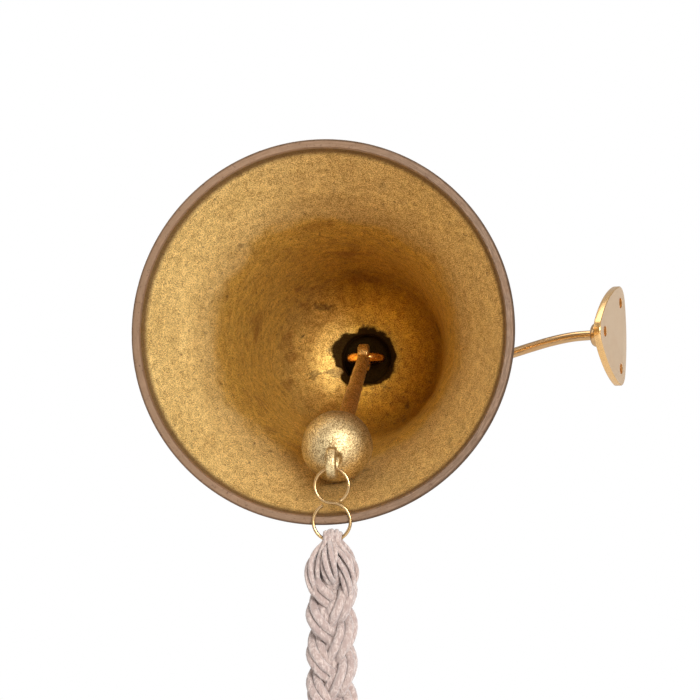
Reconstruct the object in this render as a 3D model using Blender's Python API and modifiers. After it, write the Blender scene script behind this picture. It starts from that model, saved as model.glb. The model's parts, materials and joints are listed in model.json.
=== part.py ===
"""A brass ship bell on a swan neck wall bracket, with its clapper, S hook and rope lanyard.

Row frame, in metres: +Z up, +X into the wall, -Y out of the bell's mouth. The origin is the middle
of the wall plate's back face. The bell is held out level on its clamped pivot bolt, so its clapper
lies on the lower wall and the lanyard hangs in front of the lip.
"""

import math

import bmesh
import bpy
from mathutils import Euler, Matrix, Vector

MM = 0.001
GAP = 0.3 * MM  # what touching pieces keep between them
PLAY = 0.4 * MM  # radial play of a pin in its hole
WELD = 1e-6

# Wall plate and its boss
HOLE_RING_RADIUS = 17.0 * MM
CORNER_RADIUS = 7.5 * MM
SIDE_RADIUS = 60.0 * MM
PLATE_THICKNESS = 3.2 * MM
SCREW_HOLE_RADIUS = 2.3 * MM
COUNTERSINK_RADIUS = 3.9 * MM
BOSS_RADIUS = 7.4 * MM
BOSS_LENGTH = 3.4 * MM
COLLAR_RADIUS = 5.4 * MM
COLLAR_LENGTH = 3.6 * MM

# Arm, in the X-Z plane, and the yoke that swivels on its tip
ARM_RADIUS = 2.2 * MM
ARM_REACH = 116.0 * MM
PIVOT_DROP = 9.0 * MM
SWIVEL_ANGLE = math.radians(15.0)
TIP_NUT_RADIUS = 4.3 * MM
TIP_NUT_HEIGHT = 3.0 * MM
TIP_COLLAR_RADIUS = 4.2 * MM
TIP_COLLAR_HEIGHT = 2.6 * MM
BRIDGE_THICKNESS = 4.0 * MM
CHEEK_RADIUS = 6.5 * MM
CHEEK_THICKNESS = 2.6 * MM

# Pivot bolt
BOLT_RADIUS = 2.5 * MM
BOLT_HEAD_RADIUS = 4.5 * MM
BOLT_HEAD_HEIGHT = 3.2 * MM
WASHER_RADIUS = 5.6 * MM
WASHER_THICKNESS = 0.9 * MM
NUT_HEIGHT = 4.2 * MM
NUT_DOME_HEIGHT = 3.2 * MM
NUT_FLARE_RADIUS = 4.6 * MM

# Bell, measured along its axis from the plane of its mouth
MOUTH_RADIUS = 75.0 * MM
LIP_WIDTH = 3.4 * MM
CROWN_TOP = 154.0 * MM
CROWN_THICKNESS = 4.0 * MM
CROWN_RECESS_RADIUS = 11.0 * MM
CROWN_BOSS_RADIUS = 15.0 * MM
STUD_RADIUS = 2.6 * MM
WALL_MOUTH, WALL_TOP = 75.0, 154.0  # the mouth and crown that both walls are drawn for
INNER_WALL = [(62.0, 17.0), (54.6, 29.0), (49.0, 42.0), (45.0, 57.0), (42.0, 76.0), (39.8, 95.0),
              (37.2, 113.0), (33.0, 126.5), (25.5, 136.0), (17.0, 140.6)]
OUTER_WALL = [(67.6, 17.0), (59.6, 29.0), (53.4, 42.0), (49.0, 57.0), (45.8, 76.0), (43.4, 95.0),
              (40.8, 114.0), (36.4, 129.5), (28.6, 141.5), (20.0, 148.2)]

# Hanger lug and crown washer
CROWN_WASHER_RADIUS = 10.5 * MM
CROWN_WASHER_THICKNESS = 1.0 * MM
LUG_FLANGE_RADIUS = 8.6 * MM
LUG_FLANGE_HEIGHT = 1.6 * MM
LUG_EYE_RADIUS = 6.2 * MM
LUG_THICKNESS = 8.4 * MM

# Crown eye, clapper
EYE_RING_RADIUS = 6.8 * MM
EYE_ROD_RADIUS = 2.0 * MM
CLAPPER_HEIGHT = 132.6 * MM  # of the lowest point of the crown eye's centre line
CLAPPER_LENGTH = 114.7737 * MM  # to the ball's centre, along the bell's axis
CLAPPER_ROCK = math.radians(1.8)
BALL_CLEARANCE = 0.6231 * MM  # from the wall that the ball rests on
CLAPPER_EYE_OUTER = 6.0 * MM
CLAPPER_EYE_INNER = 3.4 * MM
CLAPPER_EYE_THICKNESS = 5.0 * MM
SHANK_TOP_RADIUS = 2.8 * MM
SHANK_BOTTOM_RADIUS = 3.7 * MM
BALL_RADIUS = 14.0 * MM
TAIL_EYE_DISTANCE = 18.6624 * MM  # from the ball's centre, along the bell's axis
TAIL_EYE_OUTER = 6.3 * MM
TAIL_EYE_INNER = 3.4 * MM
TAIL_EYE_THICKNESS = 4.0 * MM
TAIL_NECK_RADIUS = 1.2 * MM

# S hook
WIRE_RADIUS = 0.65 * MM
UPPER_LOOP_RADIUS = 6.6 * MM
LOWER_LOOP_RADIUS = 7.2 * MM
LIP_CLEARANCE = 0.1 * MM  # between the lip and the rope that the hook carries
HOOK_GAP_ANGLE = math.radians(30.0)  # of each loop, between its end and the crossing

# Lanyard
BIGHT_CORD_RADIUS = 2.4 * MM
BIGHT_DROP = 8.0 * MM
ROPE_RADIUS = 11.0 * MM
ROPE_NECK_RADIUS = 7.6 * MM
ROPE_LENGTH = 125.0 * MM
KNOT_RADIUS = 14.5 * MM
KNOT_HEIGHT = 24.0 * MM
TAIL_RADIUS = 8.0 * MM
TAIL_LENGTH = 30.0 * MM

# The arm's centre line from the boss to the top of its tip, as (x, z)
ARM_ROUTE = [(-20.0, -0.5), (-30.0, -2.2), (-40.0, -4.7), (-50.0, -7.4), (-60.0, -9.4), (-69.0, -9.6),
             (-77.0, -7.0), (-84.0, -1.0), (-89.0, 7.5), (-93.0, 17.0), (-97.5, 25.5), (-103.5, 31.0),
             (-109.8, 31.2), (-114.4, 27.0), (-116.0, 20.0)]

BRASS = (0.86, 0.60, 0.28)
CAST_BRASS = (0.62, 0.42, 0.16)
SANDED_BRASS = (0.78, 0.62, 0.46)
COPPERY = (0.72, 0.38, 0.14)
COTTON = (0.80, 0.74, 0.68)

PIVOT = Vector((-ARM_REACH, 0.0, -PIVOT_DROP))
BRIDGE_TOP = PIVOT.z + CHEEK_RADIUS + TIP_NUT_HEIGHT + BRIDGE_THICKNESS + 4 * GAP
BRIDGE_BOTTOM = BRIDGE_TOP - BRIDGE_THICKNESS
CHEEK_INNER = LUG_THICKNESS / 2 + GAP + 0.3 * MM
CHEEK_OUTER = CHEEK_INNER + CHEEK_THICKNESS
PIVOT_HEIGHT = CROWN_TOP + CROWN_WASHER_THICKNESS + LUG_FLANGE_HEIGHT + CHEEK_RADIUS + 3 * GAP


# ---------------------------------------------------------------- helpers

def clear_scene():
    for obj in list(bpy.data.objects):
        bpy.data.objects.remove(obj, do_unlink=True)


def new_collection(name, hidden=False):
    collection = bpy.data.collections.new(name)
    bpy.context.scene.collection.children.link(collection)
    collection.hide_render = hidden
    return collection


def make_material(name, color, roughness, metallic):
    material = bpy.data.materials.new(name)
    material.use_nodes = True
    shader = material.node_tree.nodes["Principled BSDF"]
    shader.inputs["Base Color"].default_value = (*color, 1.0)
    shader.inputs["Roughness"].default_value = roughness
    shader.inputs["Metallic"].default_value = metallic
    return material


def smooth_route(points, step):
    """Points a step apart along the smooth curve through the given ones."""
    ends = [2 * points[0] - points[1], *points, 2 * points[-1] - points[-2]]
    fine = []
    for a, b, c, d in zip(ends, ends[1:], ends[2:], ends[3:]):
        for i in range(12):
            t = i / 12
            fine.append(0.5 * (2 * b + (c - a) * t + (2 * a - 5 * b + 4 * c - d) * t * t
                               + (3 * b - a - 3 * c + d) * t ** 3))
    fine.append(points[-1])
    total = sum((q - p).length for p, q in zip(fine, fine[1:]))
    count = max(2, round(total / step))
    route = [fine[0]]
    run = 0.0
    for p, q in zip(fine, fine[1:]):
        span = (q - p).length
        while len(route) < count and run + span >= len(route) * total / count:
            route.append(p.lerp(q, (len(route) * total / count - run) / span))
        run += span
    route.append(fine[-1])
    return route


def arc(centre, radius, start, end, count):
    """Points (x, z) along an arc, angles counted from +X towards +Z."""
    steps = [start + (end - start) * i / (count - 1) for i in range(count)]
    return [(centre[0] + radius * math.cos(a), centre[1] + radius * math.sin(a)) for a in steps]


def add_object(name, data, collection, material=None, parent=None):
    obj = bpy.data.objects.new(name, data)
    collection.objects.link(obj)
    if material:
        data.materials.append(material)
    if parent:
        obj.parent = parent
    return obj


def shade(mesh, angle=35.0):
    mesh.shade_smooth()
    mesh.set_sharp_from_angle(angle=math.radians(angle))


def turned(name, profile, collection, material=None, parent=None, steps=32, closed=False):
    """A piece turned about its local Z. The profile runs down its outer side, as (radius, height)."""
    mesh = bpy.data.meshes.new(name)
    verts = [(r, 0.0, h) for r, h in profile]
    edges = [(i, i + 1) for i in range(len(verts) - 1)]
    if closed:
        edges.append((len(verts) - 1, 0))
    mesh.from_pydata(verts, edges, [])
    obj = add_object(name, mesh, collection, material, parent)
    screw = obj.modifiers.new("Turn", "SCREW")
    screw.steps = steps
    screw.render_steps = steps
    screw.use_merge_vertices = True
    screw.merge_threshold = WELD
    screw.use_smooth_shade = True
    return obj


def ring(name, bore, radius, low, high, collection, material=None, parent=None, steps=32, edge=0.4 * MM):
    """A turned ring with softened outer edges."""
    profile = [(bore, high), (radius - edge, high), (radius, high - edge), (radius, low + edge),
               (radius - edge, low), (bore, low)]
    return turned(name, profile, collection, material, parent, steps, closed=True)


def hexagon(name, radius, low, high, collection, material=None, parent=None):
    """A hexagon head with its far corners cut back, along its local Z."""
    edge = 0.5 * MM
    return turned(name, [(0.0, high), (radius, high), (radius, low + edge), (radius - edge, low), (0.0, low)],
                  collection, material, parent, 6)


def mesh_from(obj):
    """The evaluated mesh of an object, welded, as a new object in its place."""
    bpy.context.view_layer.update()
    graph = bpy.context.evaluated_depsgraph_get()
    mesh = bpy.data.meshes.new_from_object(obj.evaluated_get(graph))
    work = bmesh.new()
    work.from_mesh(mesh)
    bmesh.ops.remove_doubles(work, verts=work.verts, dist=WELD)
    work.to_mesh(mesh)
    work.free()
    made = bpy.data.objects.new(obj.name, mesh)
    for collection in obj.users_collection:
        collection.objects.link(made)
    name = obj.name
    matrix = obj.matrix_world.copy()
    parent = obj.parent
    bpy.data.objects.remove(obj, do_unlink=True)
    made.name = name
    made.parent = parent
    made.matrix_world = matrix
    return made


def tube(name, points, radius, collection, material=None, parent=None, resolution=3):
    """A round rod along the points, with filled ends."""
    curve = bpy.data.curves.new(name, "CURVE")
    curve.dimensions = "3D"
    curve.bevel_depth = radius
    curve.bevel_resolution = resolution
    curve.use_fill_caps = True
    spline = curve.splines.new("POLY")
    spline.points.add(len(points) - 1)
    for point, place in zip(spline.points, points):
        point.co = (*place, 1.0)
    return add_object(name, curve, collection, material, parent)


def prism(name, outline, low, high, collection, material=None, parent=None):
    """A counter-clockwise outline of (y, z) points made solid from low to high along its local X."""
    mesh = bpy.data.meshes.new(name)
    count = len(outline)
    verts = [(low, y, z) for y, z in outline] + [(high, y, z) for y, z in outline]
    faces = [tuple(reversed(range(count))), tuple(range(count, 2 * count))]
    faces += [(i, (i + 1) % count, count + (i + 1) % count, count + i) for i in range(count)]
    mesh.from_pydata(verts, [], faces)
    return add_object(name, mesh, collection, material, parent)


def solid_cylinder(name, radius, low, high, collection, parent=None, material=None, steps=24, top=None):
    """A cylinder or cone along its local Z."""
    mesh = bpy.data.meshes.new(name)
    work = bmesh.new()
    bmesh.ops.create_cone(work, cap_ends=True, segments=steps, radius1=radius,
                          radius2=radius if top is None else top, depth=high - low)
    bmesh.ops.translate(work, verts=work.verts, vec=(0.0, 0.0, (high + low) / 2))
    work.to_mesh(mesh)
    work.free()
    return add_object(name, mesh, collection, material, parent)


def solid_box(name, low, high, collection, parent=None, material=None):
    mesh = bpy.data.meshes.new(name)
    work = bmesh.new()
    bmesh.ops.create_cube(work, size=1.0)
    size = Vector(high) - Vector(low)
    bmesh.ops.scale(work, verts=work.verts, vec=size)
    bmesh.ops.translate(work, verts=work.verts, vec=(Vector(high) + Vector(low)) / 2)
    work.to_mesh(mesh)
    work.free()
    return add_object(name, mesh, collection, material, parent)


def boolean(target, tool, operation):
    tool.hide_render = True
    tool.display_type = "WIRE"
    modifier = target.modifiers.new(operation.title(), "BOOLEAN")
    modifier.operation = operation
    modifier.object = tool
    return modifier


def lie_along_x(obj, place=(0.0, 0.0, 0.0)):
    """Turns a piece made along Z so that its top points along +X."""
    obj.location = place
    obj.rotation_euler = (0.0, math.radians(90.0), 0.0)
    return obj


def pivot_empty(name, matrix, collection):
    empty = bpy.data.objects.new(name, None)
    empty.empty_display_size = 0.01
    collection.objects.link(empty)
    empty.matrix_world = matrix
    return empty


# ---------------------------------------------------------------- the bell's walls, and the clapper's rest

def wall_point(radius, height):
    """A point of the drawn walls, stretched to the mouth and the crown."""
    return radius * MOUTH_RADIUS / WALL_MOUTH, height * CROWN_TOP / WALL_TOP


def wall_curve(points):
    """A smooth wall through (radius, height) points of the drawn walls."""
    corners = [wall_point(r, h) for r, h in points]
    route = smooth_route([Vector((r, 0.0, h)) for r, h in corners], 7.5 * MM)
    return [(p.x, p.z) for p in route]


def inside_profile():
    """From the lip's inner edge up to the crown recess."""
    inner_lip = MOUTH_RADIUS - LIP_WIDTH
    return [(inner_lip, 0.0), (inner_lip - 0.5 * MM, 2.6 * MM), wall_point(67.4, 8.4),
            *wall_curve(INNER_WALL)]


def wall_distance(radius, height):
    """From a point inside the bell to the nearest part of its wall."""
    point = Vector((radius, height))
    profile = [Vector(p) for p in inside_profile()]
    nearest = math.inf
    for a, b in zip(profile, profile[1:]):
        share = max(0.0, min(1.0, (point - a).dot(b - a) / (b - a).length_squared))
        nearest = min(nearest, (point - a.lerp(b, share)).length)
    return nearest


def resting_lean():
    """The clapper's lean from the bell's axis when its ball comes to the wall."""
    lean = 0.0
    step = math.radians(1.0)
    while step > 1e-7 and lean < math.radians(80.0):
        across = CLAPPER_LENGTH * math.tan(CLAPPER_ROCK) / math.cos(lean + step)
        offset = math.hypot(across, CLAPPER_LENGTH * math.tan(lean + step))
        if wall_distance(offset, CLAPPER_HEIGHT - CLAPPER_LENGTH) > BALL_RADIUS + BALL_CLEARANCE:
            lean += step
        else:
            step /= 2
    return lean


CLAPPER_LEAN = resting_lean()
ALONG_CLAPPER = 1.0 / (math.cos(CLAPPER_LEAN) * math.cos(CLAPPER_ROCK))
BALL_REACH = CLAPPER_LENGTH * ALONG_CLAPPER
TAIL_EYE_REACH = (CLAPPER_LENGTH + TAIL_EYE_DISTANCE) * ALONG_CLAPPER


# ---------------------------------------------------------------- frames of the moving bodies

def bell_matrix():
    """Local X along the pivot bolt, local Z up the bell's axis to its crown."""
    turn = Euler((math.radians(-90.0), 0.0, SWIVEL_ANGLE)).to_matrix().to_4x4()
    return Matrix.Translation(PIVOT) @ turn


def clapper_matrix():
    """Origin on the crown eye, with the clapper hanging down its local -Z."""
    place = Matrix.Translation((0.0, 0.0, CLAPPER_HEIGHT - PIVOT_HEIGHT))
    lean = Matrix.Rotation(CLAPPER_LEAN, 4, "X") @ Matrix.Rotation(-CLAPPER_ROCK, 4, "Y")
    return bell_matrix() @ place @ lean


def hook_place(tilt):
    eye = clapper_matrix() @ Vector((0.0, 0.0, -TAIL_EYE_REACH))
    rest = eye - Vector((0.0, 0.0, TAIL_EYE_INNER - WIRE_RADIUS - 0.7 * MM))
    return (Matrix.Translation(rest) @ Matrix.Rotation(SWIVEL_ANGLE, 4, "Z")
            @ Matrix.Rotation(-tilt, 4, "X"))


def hook_foot(tilt):
    """The lowest point of the hook's centre line, which carries the rope."""
    return hook_place(tilt) @ Vector((0.0, 0.0, -2 * UPPER_LOOP_RADIUS - 2 * LOWER_LOOP_RADIUS))


def lip_distance(point):
    """From a point in front of or under the bell to its lip."""
    local = bell_matrix().inverted() @ point
    radius = math.hypot(local.x, local.y)
    across = max(MOUTH_RADIUS - LIP_WIDTH - radius, radius - MOUTH_RADIUS, 0.0)
    return math.hypot(across, max(-PIVOT_HEIGHT - local.z, 0.0))


def hook_tilt():
    """How far the lip holds the hook out from plumb, which is nothing where the rope hangs clear."""
    reach = 2 * BIGHT_CORD_RADIUS + WIRE_RADIUS + GAP + LIP_CLEARANCE
    tilt = 0.0
    while tilt < math.radians(80.0) and lip_distance(hook_foot(tilt)) < reach:
        tilt += math.radians(0.5)
    return tilt


def hook_matrix():
    """Origin in the tail eye, where the wire's centre line rests, with the hook hanging down -Z."""
    return hook_place(hook_tilt())


def lanyard_matrix():
    """Origin on the lowest point of the hook's centre line, with the lanyard hanging plumb."""
    return Matrix.Translation(hook_foot(hook_tilt())) @ Matrix.Rotation(SWIVEL_ANGLE, 4, "Z")


# ---------------------------------------------------------------- bracket

def plate_outline():
    """A triangle of round corners and bulged sides, one corner towards -Y, as (y, z) points."""
    reach = SIDE_RADIUS - CORNER_RADIUS
    half_side = HOLE_RING_RADIUS * math.sin(math.radians(60.0))
    side_centre = HOLE_RING_RADIUS * 0.5 - math.sqrt(reach ** 2 - half_side ** 2)
    swing = math.asin(half_side / reach)
    outline = []
    for corner in range(3):
        facing = math.radians(180.0 + 120.0 * corner)
        middle = (HOLE_RING_RADIUS * math.cos(facing), HOLE_RING_RADIUS * math.sin(facing))
        half_turn = math.radians(60.0) - swing
        outline += arc(middle, CORNER_RADIUS, facing - half_turn, facing + half_turn, 9)
        side = facing + math.radians(60.0)
        centre = (side_centre * math.cos(side), side_centre * math.sin(side))
        outline += arc(centre, SIDE_RADIUS, side - swing, side + swing, 9)[1:-1]
    return outline


def make_wall_plate(parts, cutters, material, parent):
    plate = prism("wall_plate", plate_outline(), -PLATE_THICKNESS, 0.0, parts, material, parent)
    front = -PLATE_THICKNESS - GAP
    profile = [(0.0, PLATE_THICKNESS), (SCREW_HOLE_RADIUS, PLATE_THICKNESS),
               (SCREW_HOLE_RADIUS, -PLATE_THICKNESS / 2), (COUNTERSINK_RADIUS, front), (0.0, front)]
    for corner in range(3):
        facing = math.radians(180.0 + 120.0 * corner)
        place = (0.0, HOLE_RING_RADIUS * math.cos(facing), HOLE_RING_RADIUS * math.sin(facing))
        drill = turned(f"screw_drill_{corner}", profile, cutters, None, parent, 24)
        boolean(plate, lie_along_x(drill, place), "DIFFERENCE")


def boss_profile():
    """The turned boss against the plate: a broad foot, a groove and a round shoulder."""
    high = -PLATE_THICKNESS - GAP
    low = high - BOSS_LENGTH
    bore = ARM_RADIUS + GAP
    shoulder = arc((COLLAR_RADIUS - 0.6 * MM, low + 1.0 * MM), 1.0 * MM, 0.0, math.radians(-90.0), 4)
    return [(bore, high), (BOSS_RADIUS - 0.4 * MM, high), (BOSS_RADIUS, high - 0.4 * MM),
            (BOSS_RADIUS, high - 1.2 * MM), (BOSS_RADIUS - 0.8 * MM, high - 1.6 * MM),
            (COLLAR_RADIUS + 0.4 * MM, high - 1.8 * MM), *shoulder, (bore, low)]


def collar_profile():
    """The turned collar in front of the boss, rounded down to the arm."""
    high = -PLATE_THICKNESS - BOSS_LENGTH - 2 * GAP
    low = high - COLLAR_LENGTH
    bore = ARM_RADIUS + GAP
    nose = arc((COLLAR_RADIUS - 2.4 * MM, low + 2.4 * MM), 2.4 * MM, 0.0, math.radians(-78.0), 7)
    return [(bore, high), (COLLAR_RADIUS, high), *nose, (bore, low)]


def arm_points():
    start = Vector((-PLATE_THICKNESS - GAP, 0.0, 0.0))
    level = Vector((-PLATE_THICKNESS - BOSS_LENGTH - COLLAR_LENGTH, 0.0, 0.0))
    stretch = ARM_REACH / -ARM_ROUTE[-1][0]
    route = [Vector((x * stretch, 0.0, z * MM)) for x, z in ARM_ROUTE]
    tip = Vector((-ARM_REACH, 0.0, BRIDGE_TOP + TIP_COLLAR_HEIGHT + GAP))
    end = Vector((-ARM_REACH, 0.0, BRIDGE_BOTTOM - TIP_NUT_HEIGHT - GAP))
    return [*smooth_route([start, level, *route, tip], 3.6 * MM), end]


def make_bracket(parts, cutters, materials):
    root = pivot_empty("bracket_root", Matrix.Identity(4), parts)
    brass = materials["polished_brass"]
    make_wall_plate(parts, cutters, materials["plate_brass"], root)
    lie_along_x(turned("arm_boss", boss_profile(), parts, brass, root, 32, closed=True))
    lie_along_x(turned("arm_collar", collar_profile(), parts, brass, root, 32, closed=True))
    tube("bracket_arm", arm_points(), ARM_RADIUS, parts, brass, root, 3)
    low = BRIDGE_TOP + GAP
    collar = ring("tip_collar", ARM_RADIUS + GAP, TIP_COLLAR_RADIUS, low, low + TIP_COLLAR_HEIGHT,
                  parts, brass, root, 24)
    collar.location = (-ARM_REACH, 0.0, 0.0)
    high = BRIDGE_BOTTOM - GAP
    nut = hexagon("tip_nut", TIP_NUT_RADIUS, high - TIP_NUT_HEIGHT, high, parts, brass, root)
    bore = solid_cylinder("tip_nut_bore", ARM_RADIUS + GAP, high - 2 * TIP_NUT_HEIGHT,
                          high + TIP_NUT_HEIGHT, cutters, root)
    bore.location = (-ARM_REACH, 0.0, 0.0)
    boolean(nut, bore, "DIFFERENCE")
    nut.location = (-ARM_REACH, 0.0, 0.0)
    return root


# ---------------------------------------------------------------- yoke and pivot bolt

def make_yoke(parts, cutters, materials):
    """Made in the yoke's own frame: X along the bolt, Z up, origin on the bolt's axis."""
    turn = Matrix.Rotation(SWIVEL_ANGLE, 4, "Z")
    root = pivot_empty("yoke_pivot", Matrix.Translation(PIVOT) @ turn, parts)
    brass = materials["polished_brass"]
    top = BRIDGE_TOP - PIVOT.z
    outline = arc((0.0, 0.0), CHEEK_RADIUS, math.radians(-180.0), 0.0, 17)
    outline += [(CHEEK_RADIUS, top - 1.2 * MM), (CHEEK_RADIUS - 1.2 * MM, top),
                (1.2 * MM - CHEEK_RADIUS, top), (-CHEEK_RADIUS, top - 1.2 * MM)]
    yoke = prism("swivel_yoke", outline, -CHEEK_OUTER, CHEEK_OUTER, parts, brass, root)
    deep = 2 * CHEEK_RADIUS
    slot = solid_box("yoke_slot", (-CHEEK_INNER, -deep, -deep),
                     (CHEEK_INNER, deep, BRIDGE_BOTTOM - PIVOT.z), cutters, root)
    boolean(yoke, slot, "DIFFERENCE")
    drill = lie_along_x(solid_cylinder("yoke_drill", BOLT_RADIUS + PLAY, -3 * CHEEK_OUTER,
                                       3 * CHEEK_OUTER, cutters, root))
    boolean(yoke, drill, "DIFFERENCE")
    bore = solid_cylinder("yoke_bore", ARM_RADIUS + PLAY, 0.0, 2 * top, cutters, root)
    boolean(yoke, bore, "DIFFERENCE")
    make_pivot_bolt(parts, cutters, brass, root)
    return root


def make_pivot_bolt(parts, cutters, brass, root):
    seat = CHEEK_OUTER + WASHER_THICKNESS + 2 * GAP
    for side, name in ((-1, "head_washer"), (1, "nut_washer")):
        near = CHEEK_OUTER + GAP
        washer = ring(name, BOLT_RADIUS + GAP, WASHER_RADIUS, near, near + WASHER_THICKNESS,
                      parts, brass, root, 24, edge=0.2 * MM)
        washer.rotation_euler = (0.0, math.radians(90.0 * side), 0.0)
    head_low = -seat - BOLT_HEAD_HEIGHT
    nut_end = seat + NUT_HEIGHT + NUT_DOME_HEIGHT
    shank_end = seat + NUT_HEIGHT + 0.4 * MM
    bolt = lie_along_x(hexagon("pivot_bolt", BOLT_HEAD_RADIUS, head_low, -seat, parts, brass, root))
    shank = lie_along_x(solid_cylinder("bolt_shank", BOLT_RADIUS, head_low + BOLT_HEAD_HEIGHT / 2,
                                       shank_end, cutters, root))
    boolean(bolt, shank, "UNION")
    bore = BOLT_RADIUS + GAP
    dome = arc((0.0, nut_end - NUT_DOME_HEIGHT), NUT_DOME_HEIGHT, math.radians(90.0), 0.0, 7)
    inside = shank_end + GAP
    nut = turned("pivot_nut", [*dome, (NUT_FLARE_RADIUS, nut_end - NUT_DOME_HEIGHT), (NUT_FLARE_RADIUS, seat), (bore, seat),
                               (bore, inside), (0.0, inside)], parts, brass, root, 24)
    lie_along_x(nut)


# ---------------------------------------------------------------- bell

def bell_profile():
    """Down the outside from the crown, across the lip, up the inside and out through the stud hole."""
    hole = STUD_RADIUS + GAP
    recess_top = CROWN_TOP - CROWN_THICKNESS
    outside = wall_curve(reversed(OUTER_WALL))
    return [(hole, CROWN_TOP), (CROWN_BOSS_RADIUS - 1.0 * MM, CROWN_TOP),
            (CROWN_BOSS_RADIUS, CROWN_TOP - 1.0 * MM), (CROWN_BOSS_RADIUS, CROWN_TOP - 4.6 * MM),
            *outside, wall_point(71.6, 11.4), (MOUTH_RADIUS - 0.5 * MM, 6.2 * MM),
            (MOUTH_RADIUS, 5.4 * MM), (MOUTH_RADIUS, 0.6 * MM), (MOUTH_RADIUS - 0.6 * MM, 0.0),
            *inside_profile(), (CROWN_RECESS_RADIUS, wall_point(0.0, 141.4)[1]),
            (CROWN_RECESS_RADIUS, recess_top), (hole, recess_top)]


def make_bell(parts, cutters, materials):
    root = pivot_empty("bell_pivot", bell_matrix(), parts)
    brass = materials["polished_brass"]
    shell = turned("bell_shell", bell_profile(), parts, materials["cast_brass"], root, 60, closed=True)
    shell.location.z = -PIVOT_HEIGHT
    washer_low = CROWN_TOP + GAP - PIVOT_HEIGHT
    ring("crown_washer", STUD_RADIUS + GAP, CROWN_WASHER_RADIUS, washer_low,
         washer_low + CROWN_WASHER_THICKNESS, parts, brass, root, 32, edge=0.2 * MM)
    make_lug(parts, cutters, brass, root, washer_low + CROWN_WASHER_THICKNESS + GAP)
    make_crown_eye(parts, cutters, materials["coppery_brass"], root)
    return root


def lug_stud_top():
    """How far the eye's stud reaches into the lug, below the bolt hole."""
    return -BOLT_RADIUS - PLAY - 1.2 * MM


def make_lug(parts, cutters, brass, root, low):
    """A round flange and a flat tab, rounded over at the pivot bolt's hole."""
    flange_top = low + LUG_FLANGE_HEIGHT
    body = turned("hanger_lug", [(0.0, flange_top), (LUG_FLANGE_RADIUS - 0.4 * MM, flange_top),
                                 (LUG_FLANGE_RADIUS, flange_top - 0.4 * MM), (LUG_FLANGE_RADIUS, low),
                                 (0.0, low)], parts, brass, root, 32)
    tab = solid_box("lug_tab", (-LUG_THICKNESS / 2, -LUG_EYE_RADIUS, low + LUG_FLANGE_HEIGHT / 2),
                    (LUG_THICKNESS / 2, LUG_EYE_RADIUS, 0.0), cutters, root)
    boolean(body, tab, "UNION")
    eye = lie_along_x(solid_cylinder("lug_eye", LUG_EYE_RADIUS, -LUG_THICKNESS / 2,
                                     LUG_THICKNESS / 2, cutters, root, steps=32))
    boolean(body, eye, "UNION")
    drill = lie_along_x(solid_cylinder("lug_drill", BOLT_RADIUS + PLAY, -LUG_THICKNESS,
                                       LUG_THICKNESS, cutters, root))
    boolean(body, drill, "DIFFERENCE")
    bore = solid_cylinder("lug_bore", STUD_RADIUS + GAP, low - 5 * MM, lug_stud_top() + GAP,
                          cutters, root)
    boolean(body, bore, "DIFFERENCE")


def make_crown_eye(parts, cutters, material, root):
    """An eye bolt: a ring under the crown on a stud that is screwed up into the hanger lug."""
    centre = CLAPPER_HEIGHT - PIVOT_HEIGHT + EYE_RING_RADIUS
    stud = turned("crown_eye", [(0.0, lug_stud_top()), (STUD_RADIUS, lug_stud_top()),
                                (STUD_RADIUS, centre + EYE_RING_RADIUS), (0.0, centre + EYE_RING_RADIUS)],
                  parts, material, root, 20)
    round_points = [Vector((EYE_RING_RADIUS * math.cos(a), 0.0, EYE_RING_RADIUS * math.sin(a)))
                    for a in (math.radians(11.25 * i) for i in range(32))]
    eye = tube("eye_ring", round_points, EYE_ROD_RADIUS, cutters, None, root, 3)
    eye.data.splines[0].use_cyclic_u = True
    eye.location.z = centre
    boolean(stud, mesh_from(eye), "UNION")


# ---------------------------------------------------------------- clapper and hook

def make_clapper(parts, cutters, material):
    """One casting: an eye, a tapered shank, a ball and a tail eye."""
    root = pivot_empty("clapper_pivot", clapper_matrix(), parts)
    eye_drop = CLAPPER_EYE_INNER - EYE_ROD_RADIUS - 0.9 * MM  # the ring curves up into the hole
    shank_top = -eye_drop - CLAPPER_EYE_INNER - 0.8 * MM
    ball = arc((0.0, -BALL_REACH), BALL_RADIUS, math.radians(72.0), math.radians(-90.0), 22)
    profile = [(0.0, shank_top), (SHANK_TOP_RADIUS, shank_top),
               (SHANK_BOTTOM_RADIUS, BALL_RADIUS - BALL_REACH + 2.0 * MM), *ball[:-1],
               (0.0, -BALL_REACH - BALL_RADIUS)]
    body = turned("clapper", profile, parts, material, root, 36)
    neck = solid_cylinder("tail_neck", TAIL_NECK_RADIUS,
                          (TAIL_EYE_OUTER + TAIL_EYE_INNER) / 2 - TAIL_EYE_REACH, -BALL_REACH,
                          cutters, root)
    boolean(body, neck, "UNION")
    for name, radius, bore, thickness, height in (
            ("top_eye", CLAPPER_EYE_OUTER, CLAPPER_EYE_INNER, CLAPPER_EYE_THICKNESS, -eye_drop),
            ("tail_eye", TAIL_EYE_OUTER, TAIL_EYE_INNER, TAIL_EYE_THICKNESS, -TAIL_EYE_REACH)):
        place = (0.0, 0.0, height)
        disc = solid_cylinder(name, radius, -thickness / 2, thickness / 2, cutters, root, steps=28)
        boolean(body, lie_along_x(disc, place), "UNION")
        drill = solid_cylinder(name + "_drill", bore, -thickness, thickness, cutters, root, steps=24)
        boolean(body, lie_along_x(drill, place), "DIFFERENCE")
    return root


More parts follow.
